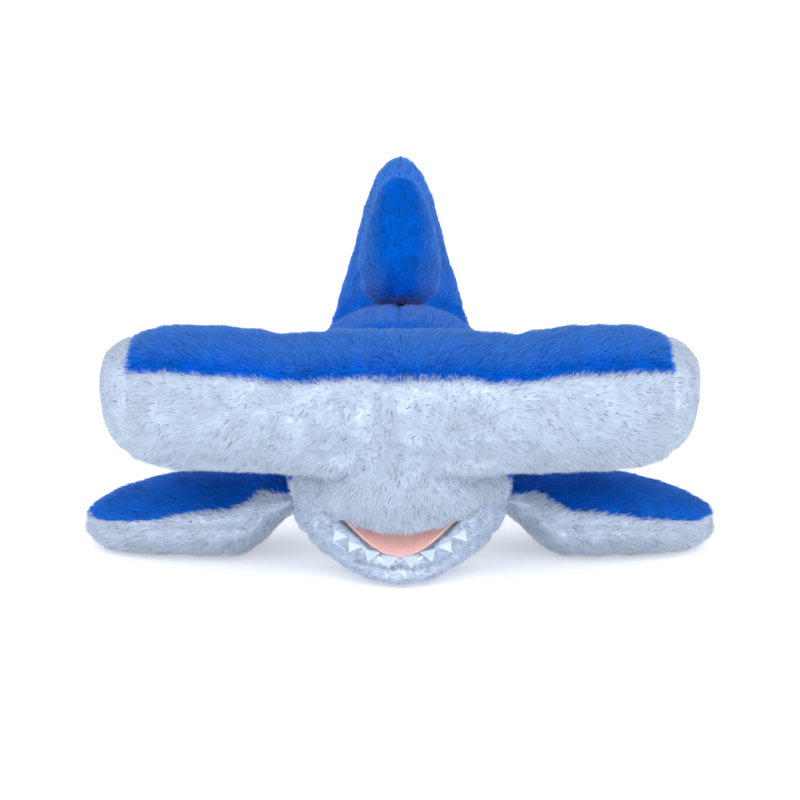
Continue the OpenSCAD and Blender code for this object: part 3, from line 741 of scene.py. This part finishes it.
# %% [markdown]
# ## Growing a pile
# Fur could be Blender's own hair curves, which render fast, but they vanish when the toy is posed
# or exported. Here every strand is a real sliver of mesh: a ribbon of two short lengths that
# narrows to a point. Some hundreds of thousands of them still render in a minute or two.
#
# What makes it look like plush and not like wire: strands start evenly all over the panel, they
# lean the way the maker brushed them, neighbours gather into tufts, and length, lean and shade
# drift slowly over the surface. Shading follows the cloth under the strand more than the sliver
# itself, so a tuft reads as one soft lump.

# %% Grow strands on a panel
most_strands = 66000


def scatter_roots(chamber, panel, density, rng):
    """Random points on one panel, with the surface normal and the distance to the seam."""
    points, triangles = chamber["points"], chamber["triangles"]
    distances, wanted = chamber["distances"], chamber["panels"].index(panel)
    nearest = distances.min(axis=1)
    close = (distances[:, wanted] - nearest < 0.003)[triangles].any(axis=1)
    triangles = triangles[close]
    a, b, c = (points[triangles[:, k]] for k in range(3))
    area = np.linalg.norm(np.cross(b - a, c - a), axis=1) / 2
    count = int(area.sum() * 1e6 * density)
    chosen = triangles[rng.choice(len(triangles), count, p=area / area.sum())]
    u, v = rng.random(count), rng.random(count)
    over = u + v > 1
    u[over], v[over] = 1 - u[over], 1 - v[over]
    weights = np.stack([1 - u - v, u, v], axis=1)
    roots, normals, gaps = (np.einsum("nk,nkd->nd", weights, values[chosen])
                            for values in (points, chamber["normals"], distances))
    mine = gaps.argmin(axis=1) == wanted
    return roots[mine], unit(normals[mine]), to_seam(gaps)[mine]


def tuft_pull(roots, paths, tuft_size, strength, rng):
    """Draw each strand's points towards those of a leader nearby, more so near the tip."""
    leaders = np.flatnonzero(rng.random(len(roots)) < min(1, 1 / (tuft_size ** 2)))
    tree = kdtree.KDTree(len(leaders))
    for place, index in enumerate(leaders):
        tree.insert(roots[index], place)
    tree.balance()
    mine = leaders[np.array([tree.find(root)[1] for root in roots])]
    pull = strength * rng.uniform(0.5, 1.2, len(roots))
    for step in range(1, paths.shape[1]):
        share = np.clip(pull * (step / (paths.shape[1] - 1)) ** 1.3, 0, 0.95)[:, None]
        paths[:, step] += (paths[mine, step] - paths[:, step]) * share
    return mine


def strand_mesh(name, paths, normals, widths, values):
    """Ribbons along the paths, tapering to a point, with a value for every vertex."""
    count, steps = paths.shape[0], paths.shape[1]
    along = unit(paths[:, 1:] - paths[:, :-1])
    side = unit(np.cross(along[:, 0], normals) + values["twist"])
    per_strand = 2 * (steps - 1) + 1
    points = np.empty((count, per_strand, 3))
    reach = np.empty((count, per_strand))
    taper = np.linspace(1, 0.62, steps - 1)
    for step in range(steps - 1):
        offset = side * (widths * taper[step] / 2)[:, None]
        points[:, 2 * step] = paths[:, step] - offset
        points[:, 2 * step + 1] = paths[:, step] + offset
        reach[:, 2 * step:2 * step + 2] = step / (steps - 1)
    points[:, -1] = paths[:, -1]
    reach[:, -1] = 1
    points[:, :, 2] = np.maximum(points[:, :, 2], values["floor"][:, None])
    base = np.arange(count)[:, None] * per_strand
    quads = np.concatenate([base + np.array([2 * s, 2 * s + 1, 2 * s + 3, 2 * s + 2])
                            for s in range(steps - 2)])
    tips = base + np.array([per_strand - 3, per_strand - 2, per_strand - 1])
    corners = np.concatenate([quads.reshape(-1), tips.reshape(-1)])
    starts = np.concatenate([np.arange(len(quads)) * 4, len(quads) * 4 + np.arange(count) * 3])
    mesh = bpy.data.meshes.new(name)
    mesh.vertices.add(count * per_strand)
    mesh.vertices.foreach_set("co", points.reshape(-1))
    mesh.loops.add(len(corners))
    mesh.loops.foreach_set("vertex_index", corners)
    mesh.polygons.add(len(starts))
    mesh.polygons.foreach_set("loop_start", starts)
    mesh.update(calc_edges=True)
    for attribute_name in ("along", "strand", "patch", "nap"):
        layer = mesh.attributes.new(attribute_name, "FLOAT", "POINT")
        data = reach if attribute_name == "along" else values[attribute_name][:, None]
        spread = np.broadcast_to(data, (count, per_strand))
        layer.data.foreach_set("value", spread.astype(np.float32).reshape(-1))
    mesh.shade_smooth()
    soft = np.repeat(unit(normals + values["lean"]), per_strand, axis=0)
    mesh.normals_split_custom_set_from_vertices(soft)
    made = bpy.data.objects.new(name, mesh)
    bpy.context.scene.collection.objects.link(made)
    return made


def grow_pile(chamber, panel, name, material, comb, seed, density=2.0, length=0.0065,
              width=0.00042, lift=0.62, tuft=2.0, clump=0.34, clear_of=None, keep=None,
              nap=None):
    """Strands all over one panel. comb gives the brushed direction at each root."""
    rng = np.random.default_rng(seed)
    roots, normals, seam = scatter_roots(chamber, panel, density, rng)
    allowed = np.ones(len(roots), bool)
    if keep is not None:
        allowed &= keep(roots)
    if clear_of is not None:
        tree, gap = clear_of
        allowed &= np.array([tree.find_nearest(Vector(r), gap)[3] is None for r in roots])
    allowed &= allowed.cumsum() <= most_strands
    roots, normals, seam = roots[allowed], normals[allowed], seam[allowed]
    count = len(roots)
    swirl = np.stack([waves(roots, 0.030, seed + k) for k in (1, 2, 3)], axis=1)
    lean = comb(roots, normals) + 0.24 * swirl + rng.normal(0, 0.25, (count, 3))
    lean -= normals * np.sum(lean * normals, axis=1, keepdims=True)
    lean = unit(lean)
    rise = lift * rng.uniform(0.7, 1.3, count) + 0.12 * waves(roots, 0.012, seed + 4)
    rise = np.clip(rise, 0.12, 0.95)[:, None]
    first = unit(normals * rise * 1.5 + lean * (1 - rise * 0.5))
    last = unit(normals * rise * 0.55 + lean + np.array([0, 0, -0.12])
                + rng.normal(0, 0.16, (count, 3)))
    size = length * rng.uniform(0.72, 1.12, count) * (1 + 0.12 * waves(roots, 0.018, seed + 5))
    size = (size * (0.8 + 0.2 * np.clip(seam / 0.004, 0, 1)))[:, None]
    steps = 3
    paths = np.empty((count, steps, 3))
    for step in range(steps):
        t = step / (steps - 1)
        paths[:, step] = roots + size * (first * t + (last - first) * t * t / 2)
    paths[:, 0] -= normals * 0.0006
    leader = tuft_pull(roots, paths, tuft, clump, rng)
    tilt = rng.normal(0, 1, (count, 3))
    values = {
        "twist": rng.normal(0, 0.45, (count, 3)),
        "strand": rng.random(count) * 0.6 + rng.random(count)[leader] * 0.4,
        "patch": waves(roots, 0.022, seed + 6),
        # How much of the pale colour each strand shows: painted top light and sheen on most panels.
        "nap": np.zeros(count) if nap is None else nap(roots, normals, rng.random(count)),
        "lean": 0.07 * tilt[leader] + 0.05 * tilt,
        "floor": rng.uniform(0.0002, 0.0016, count),
    }
    made = strand_mesh(name, paths, normals, width * rng.uniform(0.7, 1.3, count), values)
    made.data.materials.append(material)
    print(f"{name}: {count} strands")
    return made


print("Pile tools ready, at most", most_strands, "strands a piece")

# %% [markdown]
# ## Which way the pile lies
# Plush has a grain. On the head it is brushed outwards from the middle, on the body towards the
# tail, on the fins towards their tips, and on the lip downwards, so that it hangs over the mouth.
# Each rule is a short function from places to directions.

# %% Say how each chamber is brushed
def toward(x, y, z):
    """The same direction everywhere."""
    return lambda roots, normals: np.tile(np.array([x, y, z], float), (len(roots), 1))


def brushed_head(roots, normals):
    out = np.tanh(roots[:, 0] / 0.045)
    back = np.clip(normals[:, 2], 0, 1) * 0.5
    down = -0.22 - 0.35 * (1 - np.abs(out))
    return np.stack([out, back, np.broadcast_to(down, out.shape)], axis=1)


def brushed_face(roots, normals):
    out = np.tanh(roots[:, 0] / 0.090)
    up = 0.9 * fade(roots[:, 2], 0.108, 0.120) - 0.15 - 0.5 * (1 - fade(roots[:, 2], 0.066, 0.080))
    return np.stack([out * 0.8, np.zeros(len(out)), up], axis=1)


def brushed_snout(roots, normals):
    out = roots[:, 0] / 0.045
    return np.stack([out, np.full(len(out), -0.1), np.full(len(out), -1.0)], axis=1)


def brushed_jaw(roots, normals):
    out = np.tanh(roots[:, 0] / 0.010)
    return np.stack([out * 0.7, np.full(len(out), 0.6), np.full(len(out), -0.3)], axis=1)


def brushed_caudal(roots, normals):
    return np.stack([roots[:, 0] * 8, np.full(len(roots), 0.15), np.full(len(roots), 1.0)], axis=1)


def brushed_dorsal(roots, normals):
    out = roots[:, 0] / 0.03
    return np.stack([out * 0.35, np.full(len(out), 0.25), np.full(len(out), 1.0)], axis=1)


brushed = {
    "head": brushed_head,
    "face": brushed_face,
    "body": toward(0, 1, -0.12),
    "caudal": brushed_caudal,
    "snout": brushed_snout,
    "jaw": brushed_jaw,
    "dorsal": brushed_dorsal,
    "lobe": toward(0, 0.7, -0.7),
    "fin_left": toward(1, 0.25, 0.05),
    "fin_right": toward(-1, 0.25, 0.05),
}


def nap_on_top(roots, normals, chance):
    """Painted top light and sheen: paler where the cloth faces up, with a ragged edge."""
    return 0.62 * fade(normals[:, 2] + 0.2 * (chance - 0.5), 0.66, 0.94)


# Painted top light on the back, at three tenths of the head's.
def nap_on_back(roots, normals, chance):
    return 0.3 * nap_on_top(roots, normals, chance)


def nap_at_sides(roots, normals, chance):
    """Painted sheen: paler where an upright fin's sides face sideways, which the front sees at a
    glancing angle.
    """
    return 0.55 * fade(np.abs(normals[:, 0]) + 0.3 * (chance - 0.5), 0.55, 0.95)


def nap_outward(roots, normals, chance):
    """Painted light: paler towards the tip of a side fin, out from under the shade of the head."""
    return 0.16 * fade(np.abs(roots[:, 0]) + 0.03 * (chance - 0.5), 0.080, 0.150)


def paler_to_tail_tip(roots, normals, chance):
    """Paler towards the tip of the tail."""
    return 0.48 + 0.36 * fade(roots[:, 2] + 0.02 * (chance - 0.5), 0.120, 0.180)


print("Grain set for", len(brushed), "regions")

# %% [markdown]
# ## The teeth
# Felt teeth are stamped from a thin sheet, so they are flat with soft, slightly fuzzy edges. A
# bevel alone looks like metal. Instead each sharp solid is remeshed finely and smoothed, which
# rounds every edge a little, and its surface is roughened by a fraction of a tenth of a
# millimetre. Then each tooth is moved up towards the rim of the teased jaw, the outer ones a
# little further and inwards. Straight lines from the front find how far the cloth behind it has
# moved, and the tooth is shifted and tilted by as much, with a millimetre more to clear the pile.
# That keeps the gap that the solid tooth had. The solids stand clear of the jaw, most at the two
# ends of the row, and so do these.

# %% Soften the felt teeth
tooth_stand = 0.0010
tooth_squash = 0.85
tooth_rise, outer_rise = 0.0022, 0.0036
outer_tuck = 0.004
outer_tooth_x = 0.036
teeth = new_object("teeth", *cad_mesh(["felt_teeth"]))
fine = teeth.modifiers.new("even", "REMESH")
fine.mode = "VOXEL"
fine.voxel_size = 0.0004
soften = teeth.modifiers.new("soften", "SMOOTH")
soften.iterations = 4
settle(teeth)
points = read_points(teeth.data)
normals = np.array([v.normal for v in teeth.data.vertices])
before = bvhtree.BVHTree.FromPolygons(*cad_mesh(["lower_jaw_panel", "cheek_panel_left",
                                                 "cheek_panel_right", "mouth_lining"]))
tooth_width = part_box("felt_teeth")[1].x / 4
tooth_of = np.round(points[:, 0] / tooth_width + 0.5)
for tooth in np.unique(tooth_of):
    mine = np.flatnonzero(tooth_of == tooth)
    old, new = points[mine], points[mine]
    out = new[:, 0].mean() / outer_tooth_x
    new[:, 0] -= outer_tuck * out ** 3
    sunk = (1 - tooth_squash) * (new[:, 2] - new[:, 2].max())
    new[:, 2] += tooth_rise + outer_rise * abs(out) - sunk
    shifts = []
    for pair in zip(old, new):
        starts = [Vector((place[0], nose_y - 0.02, place[2])) for place in pair]
        hits = [tree.ray_cast(start, Vector((0, 1, 0)), 0.06)[0]
                for tree, start in zip((before, jaw_surface), starts)]
        shifts.append(hits[1].y - hits[0].y if None not in hits else np.nan)
    shifts = np.array(shifts)
    good = np.abs(shifts - np.nanmedian(shifts)) < 0.0025
    points[mine] = new
    centre = points[mine].mean(axis=0)
    across = np.stack([np.ones(len(mine)), *(points[mine] - centre)[:, [0, 2]].T], axis=1)
    plane = np.linalg.lstsq(across[good], shifts[good], rcond=None)[0]
    points[mine, 1] += across @ plane - tooth_stand
rough = 0.00006 * waves(points, 0.0016, 80) + 0.00018
write_points(teeth.data, points + normals * rough[:, None])
teeth.data.materials.append(white_felt)
teeth.data.shade_smooth()
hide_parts("felt_teeth")
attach(teeth, "jaw")
print("Teeth:", len(teeth.data.vertices), "points")

# %% [markdown]
# ## Dressing the toy
# Now every panel gets its skin and its pile. A table says, for each panel, which solids it stands
# for, which moving body it follows or which joint it crosses, and how its plush is. A piece that
# crosses a joint is only baked in place and follows no body; the stretch beside the hinge line that
# the table gives for it is not used.


def follow(piece, ride_on, joint=None, before=None, after=None):
    """Ride one body; a piece at a joint is only baked in place."""
    if joint is None:
        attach(piece, ride_on)
        return
    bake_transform(piece)


rows = []
mouth_half = 0.0375


def dress(chamber, panel, slot, solids, body, grain, seed, bend=None, halves=False, keep=None,
          **pile):
    skin = cut_skin(chambers[chamber], panel, panel + "_skin", backings[slot])
    pieces = [skin]
    sides = {"_pile": keep}
    if halves:
        sides = {"_pile_left": lambda roots: roots[:, 0] > 0,
                 "_pile_right": lambda roots: roots[:, 0] <= 0}
    for name, keep in sides.items():
        pieces.append(grow_pile(chambers[chamber], panel, panel + name, finishes[slot],
                                brushed[grain], seed + 100 * (len(pieces) - 1), keep=keep, **pile))
    for piece in pieces:
        follow(piece, body, *(bend or ()))
    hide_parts(*solids)
    rows.append(panel)


eye_trees = bvhtree.BVHTree.FromPolygons(*cad_mesh(["safety_eye_left", "safety_eye_right"]))
tooth_tree = bvhtree.BVHTree.FromPolygons(
    [v.co for v in teeth.data.vertices], [list(p.vertices) for p in teeth.data.polygons])
round_eyes = (eye_trees, 0.0022)
round_teeth = (tooth_tree, 0.0016)

dress("head", "hammer_top", "blue_plush", ["hammer_top_panel", "hammer_stuffing"], "torso",
      "head", 11, density=2.8, halves=True, nap=nap_on_top)
dress("head", "hammer_front", "white_plush", ["hammer_front_panel"], "torso", "face", 12,
      density=4.0, length=0.0058, width=0.00038, clump=0.22, halves=True)
for side, seed in (("left", 13), ("right", 14)):
    dress("head", "end_cap_" + side, "white_plush", ["hammer_end_cap_" + side], "torso", "head",
          seed, density=4.5, length=0.0030, width=0.00038, lift=0.5, clump=0.24,
          clear_of=round_eyes)
dress("head", "snout", "white_plush", ["snout_panel", "snout_stuffing"], "torso", "snout", 15,
      density=4.2, length=0.0056, width=0.00036, clump=0.22)

tail_bend = ("tail_bend", (0, -0.022, 0), (0, 0.020, 0))
for side, seed in (("left", 21), ("right", 22)):
    dress("body", "back_" + side, "blue_plush", [f"back_panel_{side}", f"tail_panel_{side}"],
          "tail", "body", seed, bend=tail_bend, density=1.7, length=0.0055, nap=nap_on_back)
    dress("body", "caudal_" + side, "blue_plush", ["caudal_panel_" + side], "tail", "caudal",
          seed + 2, density=2.8, length=0.0046, nap=paler_to_tail_tip)
dress("body", "belly", "short_white_plush",
      ["belly_panel", "tail_belly_panel", "body_stuffing", "tail_stuffing", "caudal_stuffing"],
      "tail", "body", 25, bend=tail_bend, density=0.7, length=0.0045, lift=0.4)

jaw_bend = ("jaw_hinge", (0, 0.006, 0), (0, -0.010, 0))
dress("jaw", "lower_jaw", "short_white_plush", ["lower_jaw_panel", "jaw_stuffing"], "jaw", "jaw",
      31, bend=jaw_bend, density=3.2, length=0.0036, width=0.00045, lift=0.45, tuft=2.4,
      clump=0.35, clear_of=round_teeth)
for side, seed in (("left", 32), ("right", 33)):
    dress("jaw", "cheek_" + side, "short_white_plush", ["cheek_panel_" + side], "jaw", "jaw",
          seed, bend=jaw_bend, density=3.2, length=0.0036, width=0.00045, lift=0.45, tuft=2.4,
          clump=0.35, clear_of=round_teeth)

dorsal_bend = ("dorsal_fin_lean", (0, 0, -0.010), (0, 0, 0.016))
for side, seed in (("left", 41), ("right", 42)):
    solids = ["dorsal_panel_" + side] + (["dorsal_stuffing"] if side == "left" else [])
    dress("dorsal", "dorsal_" + side, "blue_plush", solids, "dorsal_fin", "dorsal", seed,
          bend=dorsal_bend, density=4.5, length=0.0060, nap=nap_at_sides)
    solids = ["lower_lobe_" + side] + (["lower_lobe_stuffing"] if side == "left" else [])
    dress("lobe", "lobe_" + side, "blue_plush", solids, "tail", "lobe", seed + 2, density=2.0)

for side, sign in (("left", 1), ("right", -1)):
    fin_bend = (f"pectoral_{side}_flap", (-0.010 * sign, 0, 0), (0.012 * sign, 0, 0))
    dress("fin_" + side, f"fin_{side}_top", "blue_plush",
          [f"pectoral_{side}_top", f"pectoral_{side}_stuffing"], f"pectoral_{side}",
          "fin_" + side, 51 if sign > 0 else 53, bend=fin_bend, density=3.4,
          nap=nap_outward)
    dress("fin_" + side, f"fin_{side}_bottom", "white_plush", [f"pectoral_{side}_bottom"],
          f"pectoral_{side}", "fin_" + side, 52 if sign > 0 else 54, bend=fin_bend, density=3.6,
          clump=0.24)
dress("jaw", "lip_lining", "short_white_plush", ["mouth_lining"], "jaw", "jaw", 34, bend=jaw_bend,
      density=2.5, length=0.0030, width=0.0004, lift=0.5,
      keep=lambda roots: np.abs(roots[:, 0]) > mouth_half)
for chamber in chambers.values():
    bpy.data.objects.remove(chamber["bag"])
print(len(rows), "panels dressed")

# %% [markdown]
# ## The mouth
# The mouth is two sheets of pink felt that meet at the back. The roof has the right curve but few
# faces, so it is copied, its doubled points are joined, and a subdivision surface rounds it. The
# floor is padded from below, like a tongue: it starts at the rim of the jaw, climbs steeply and
# then runs level to the throat, so it is drawn as a grid that follows the rim. Its front edge
# laps a millimetre over the rim, where it is sewn down. A little noise along the normals stops
# both from looking like moulded plastic.

# %% Line the mouth with felt
def rounded_copy(name, node, levels, material, ripple):
    points, faces = cad_mesh([node])
    piece = new_object(name, points, faces)
    weld = piece.modifiers.new("weld", "WELD")
    weld.merge_threshold = 0.00002
    fine = piece.modifiers.new("fine", "SUBSURF")
    fine.levels = levels
    settle(piece)
    points = read_points(piece.data)
    normals = np.array([v.normal for v in piece.data.vertices])
    write_points(piece.data, points + normals * (ripple * waves(points, 0.006, 70))[:, None])
    piece.data.materials.append(material)
    piece.data.shade_smooth()
    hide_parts(node)
    return piece


upper_lining = rounded_copy("mouth_roof", "palate_lining", 3, pink_felt, 0.00015)
write_points(upper_lining.data, raise_lip(read_points(upper_lining.data)) + (0, 0.0015, 0.001))
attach(upper_lining, "torso")
print("Mouth roof:", len(upper_lining.data.vertices), "points")

jaw_x, jaw_y, jaw_z = np.abs(jaw["points"][:, 0]), jaw["points"][:, 1], jaw["points"][:, 2]
at_rim = (jaw_x < 0.040) & (jaw_z > np.interp(jaw_x, smile_at, rim_heights) - 0.0035)
rim_x = np.linspace(0, 0.038, 20)
rim_line = np.polyfit(rim_x ** 2, edge_line(jaw_x[at_rim], jaw_y[at_rim], False, rim_x), 2)
rim_height = np.polyfit(np.array(smile_at) ** 2, rim_heights, 3)
felt_rows, felt_columns = 40, 72
felt_depth, felt_climb = 0.038, 0.0135
lap_forward, lap_down = 0.0012, 0.0014
felt = []
for row in range(felt_rows + 1):
    t = row / felt_rows
    for column in range(felt_columns + 1):
        x = (column / felt_columns * 2 - 1) * mouth_half
        rim = float(np.polyval(rim_height, x * x))
        lap = 1 - float(fade(t, 0, 0.08))
        edge = float(np.polyval(rim_line, x * x))
        climb = felt_climb * float(fade(t, -0.10, 0.5))
        felt.append((x, edge - 0.0006 + felt_depth * t - lap_forward * lap,
                     rim + 0.0002 + climb - lap_down * lap))
columns = felt_columns + 1
lower_lining = new_object("mouth_floor", felt, [
    [r * columns + c, r * columns + c + 1, (r + 1) * columns + c + 1, (r + 1) * columns + c]
    for r in range(felt_rows) for c in range(felt_columns)])
thick = lower_lining.modifiers.new("thick", "SOLIDIFY")
thick.thickness = 0.0012
settle(lower_lining)
points = read_points(lower_lining.data)
write_points(lower_lining.data, points + np.array([[0, 0, 1.0]])
             * (0.0002 * waves(points, 0.006, 71))[:, None])
lower_lining.data.materials.append(pink_felt)
lower_lining.data.shade_smooth()
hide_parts("mouth_lining")
follow(lower_lining, "jaw", *jaw_bend)
print("Mouth floor:", len(lower_lining.data.vertices), "points")

# %% [markdown]
# ## Eyes and washers
# Safety eyes are turned and polished plastic, so their solids are already right, and only the
# material is new: near black, glossy, with the faint uneven tint and the fine scuffs of moulded
# plastic. The washers are hidden inside the head and are plain milky plastic.

# %% Give the eyes their plastic
def plastic(name, base, shade, roughness, coat):
    made = bpy.data.materials.new(name)
    made.use_nodes = True
    tree = made.node_tree
    shader = tree.nodes["Principled BSDF"]
    place = tree.nodes.new("ShaderNodeTexCoord").outputs["Object"]
    cloud = tree.nodes.new("ShaderNodeTexNoise")
    cloud.inputs["Scale"].default_value = 300
    cloud.inputs["Detail"].default_value = 6
    tree.links.new(place, cloud.inputs["Vector"])
    colour = mix_colour(tree)
    colour.inputs["A"].default_value = base
    colour.inputs["B"].default_value = shade
    tree.links.new(cloud.outputs["Fac"], colour.inputs["Factor"])
    tree.links.new(colour.outputs["Result"], shader.inputs["Base Color"])
    tree.links.new(ramp_value(tree, cloud.outputs["Fac"], 0.3, 0.7, roughness * 0.8,
                              roughness * 1.3), shader.inputs["Roughness"])
    shader.inputs["Coat Weight"].default_value = coat
    shader.inputs["Coat Roughness"].default_value = 0.05
    return made


eye_plastic = plastic("eye plastic", linear(6, 6, 8), linear(14, 14, 18), 0.10, 0.15)
washer_plastic = plastic("washer plastic", linear(228, 228, 222), linear(212, 212, 206), 0.5, 0.0)
for side in ("left", "right"):
    for node, finish in (("safety_eye_" + side, eye_plastic), ("eye_washer_" + side, washer_plastic)):
        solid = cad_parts[node]
        solid.data.materials.clear()
        solid.data.materials.append(finish)
print("Eyes and washers finished")

# %% [markdown]
# ## The label
# A loop of satin tape is caught in the side seam. It is blank. The tape is one grid, folded over
# itself, with a small air gap at the fold and a slight wave, because ribbon never lies flat.

# %% Fold the label
low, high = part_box("sewn_label")
tape_rows, tape_columns = 22, 10
tape = []
for row in range(tape_rows + 1):
    turn = row / tape_rows * 2 - 1
    out = low.x + 0.0008 + (high.x - low.x) * abs(turn) ** 1.15
    for column in range(tape_columns + 1):
        across = column / tape_columns
        wave = 0.0006 * math.sin(across * 5 + turn * 2)
        tape.append((out, low.y + (high.y - low.y) * across,
                     (low.z + high.z) / 2 + 0.0011 * math.sin(turn * math.pi / 2) + wave))
columns = tape_columns + 1
label = new_object("label_loop", tape, [
    [r * columns + c, r * columns + c + 1, (r + 1) * columns + c + 1, (r + 1) * columns + c]
    for r in range(tape_rows) for c in range(tape_columns)])
thick = label.modifiers.new("thick", "SOLIDIFY")
thick.thickness = 0.0003
label.modifiers.new("fine", "SUBSURF").levels = 1
settle(label)
label.data.materials.append(label_satin)
label.data.shade_smooth()
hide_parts("sewn_label")
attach(label, "torso")
print("Label:", len(label.data.vertices), "points")

# %% [markdown]
# ## The studio
# A soft toy wants soft light. A pale, cool world lights it from all round, as a light tent does, and
# is brightest near the horizon, so that it runs into the floor without a line. One very broad light
# above and in front gives the top of the head part of its glow, the rest being painted top light in
# the pile's colour, and gives the floor its brightness. Its shadows have no edge and fall under the
# toy and behind it. The floor is a wide matt sheet that glows a little, like a photographer's light
# table, so that shadows stay narrow and undersides stay light.

# %% Build the studio
table_glow = 0.34
horizon_strength, zenith_strength = 1.09, 0.78
lamp_tilt = math.radians(56)


def paper_material():
    made = bpy.data.materials.new("studio paper")
    made.use_nodes = True
    tree = made.node_tree
    shader = tree.nodes["Principled BSDF"]
    shader.inputs["Roughness"].default_value = 1.0
    shader.inputs["Specular IOR Level"].default_value = 0.0
    grain = tree.nodes.new("ShaderNodeTexNoise")
    grain.inputs["Scale"].default_value = 400
    tree.links.new(tree.nodes.new("ShaderNodeTexCoord").outputs["Object"], grain.inputs["Vector"])
    colour = mix_colour(tree)
    colour.inputs["A"].default_value = (0.95, 0.95, 0.95, 1)
    colour.inputs["B"].default_value = (0.98, 0.98, 0.98, 1)
    tree.links.new(grain.outputs["Fac"], colour.inputs["Factor"])
    tree.links.new(colour.outputs["Result"], shader.inputs["Base Color"])
    shader.inputs["Emission Color"].default_value = (1, 1, 1, 1)
    shader.inputs["Emission Strength"].default_value = table_glow
    return made


reach = 60.0
floor = new_object("floor", [(-reach, -reach, 0), (reach, -reach, 0), (reach, reach, 0),
                             (-reach, reach, 0)], [[0, 1, 2, 3]])
floor.data.materials.append(paper_material())
floor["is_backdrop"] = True

world = bpy.data.worlds.new("light tent")
bpy.context.scene.world = world
world.use_nodes = True
sky = world.node_tree
sky.nodes["Background"].inputs["Color"].default_value = (0.93, 0.967, 1.0, 1)
split = sky.nodes.new("ShaderNodeSeparateXYZ")
sky.links.new(sky.nodes.new("ShaderNodeTexCoord").outputs["Generated"], split.inputs[0])
sky.links.new(ramp_value(sky, split.outputs["Z"], 0.22, 0.50, horizon_strength,
                        zenith_strength),
              sky.nodes["Background"].inputs["Strength"])

sun = bpy.data.lights.new("overhead", "SUN")
sun.angle = math.radians(70)
sun.energy = 1.55
lamp = bpy.data.objects.new("overhead", sun)
lamp.rotation_euler = (lamp_tilt, 0, 0)
bpy.context.scene.collection.objects.link(lamp)
bpy.context.scene.view_settings.view_transform = "Standard"
print("Studio built")

# %% [markdown]
# ## Finish
# Last, the size of the dressed toy is printed beside the size of the bare solids. Fur may stand a
# few millimetres proud of them and no more.

# %% Measure and finish
dressed_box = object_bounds()
grown = [round((dressed_box[1][k] - dressed_box[0][k] - cad_box[1][k] + cad_box[0][k]) * 1000, 1)
         for k in range(3)]
print("The pile adds", grown, "mm along X, Y and Z")
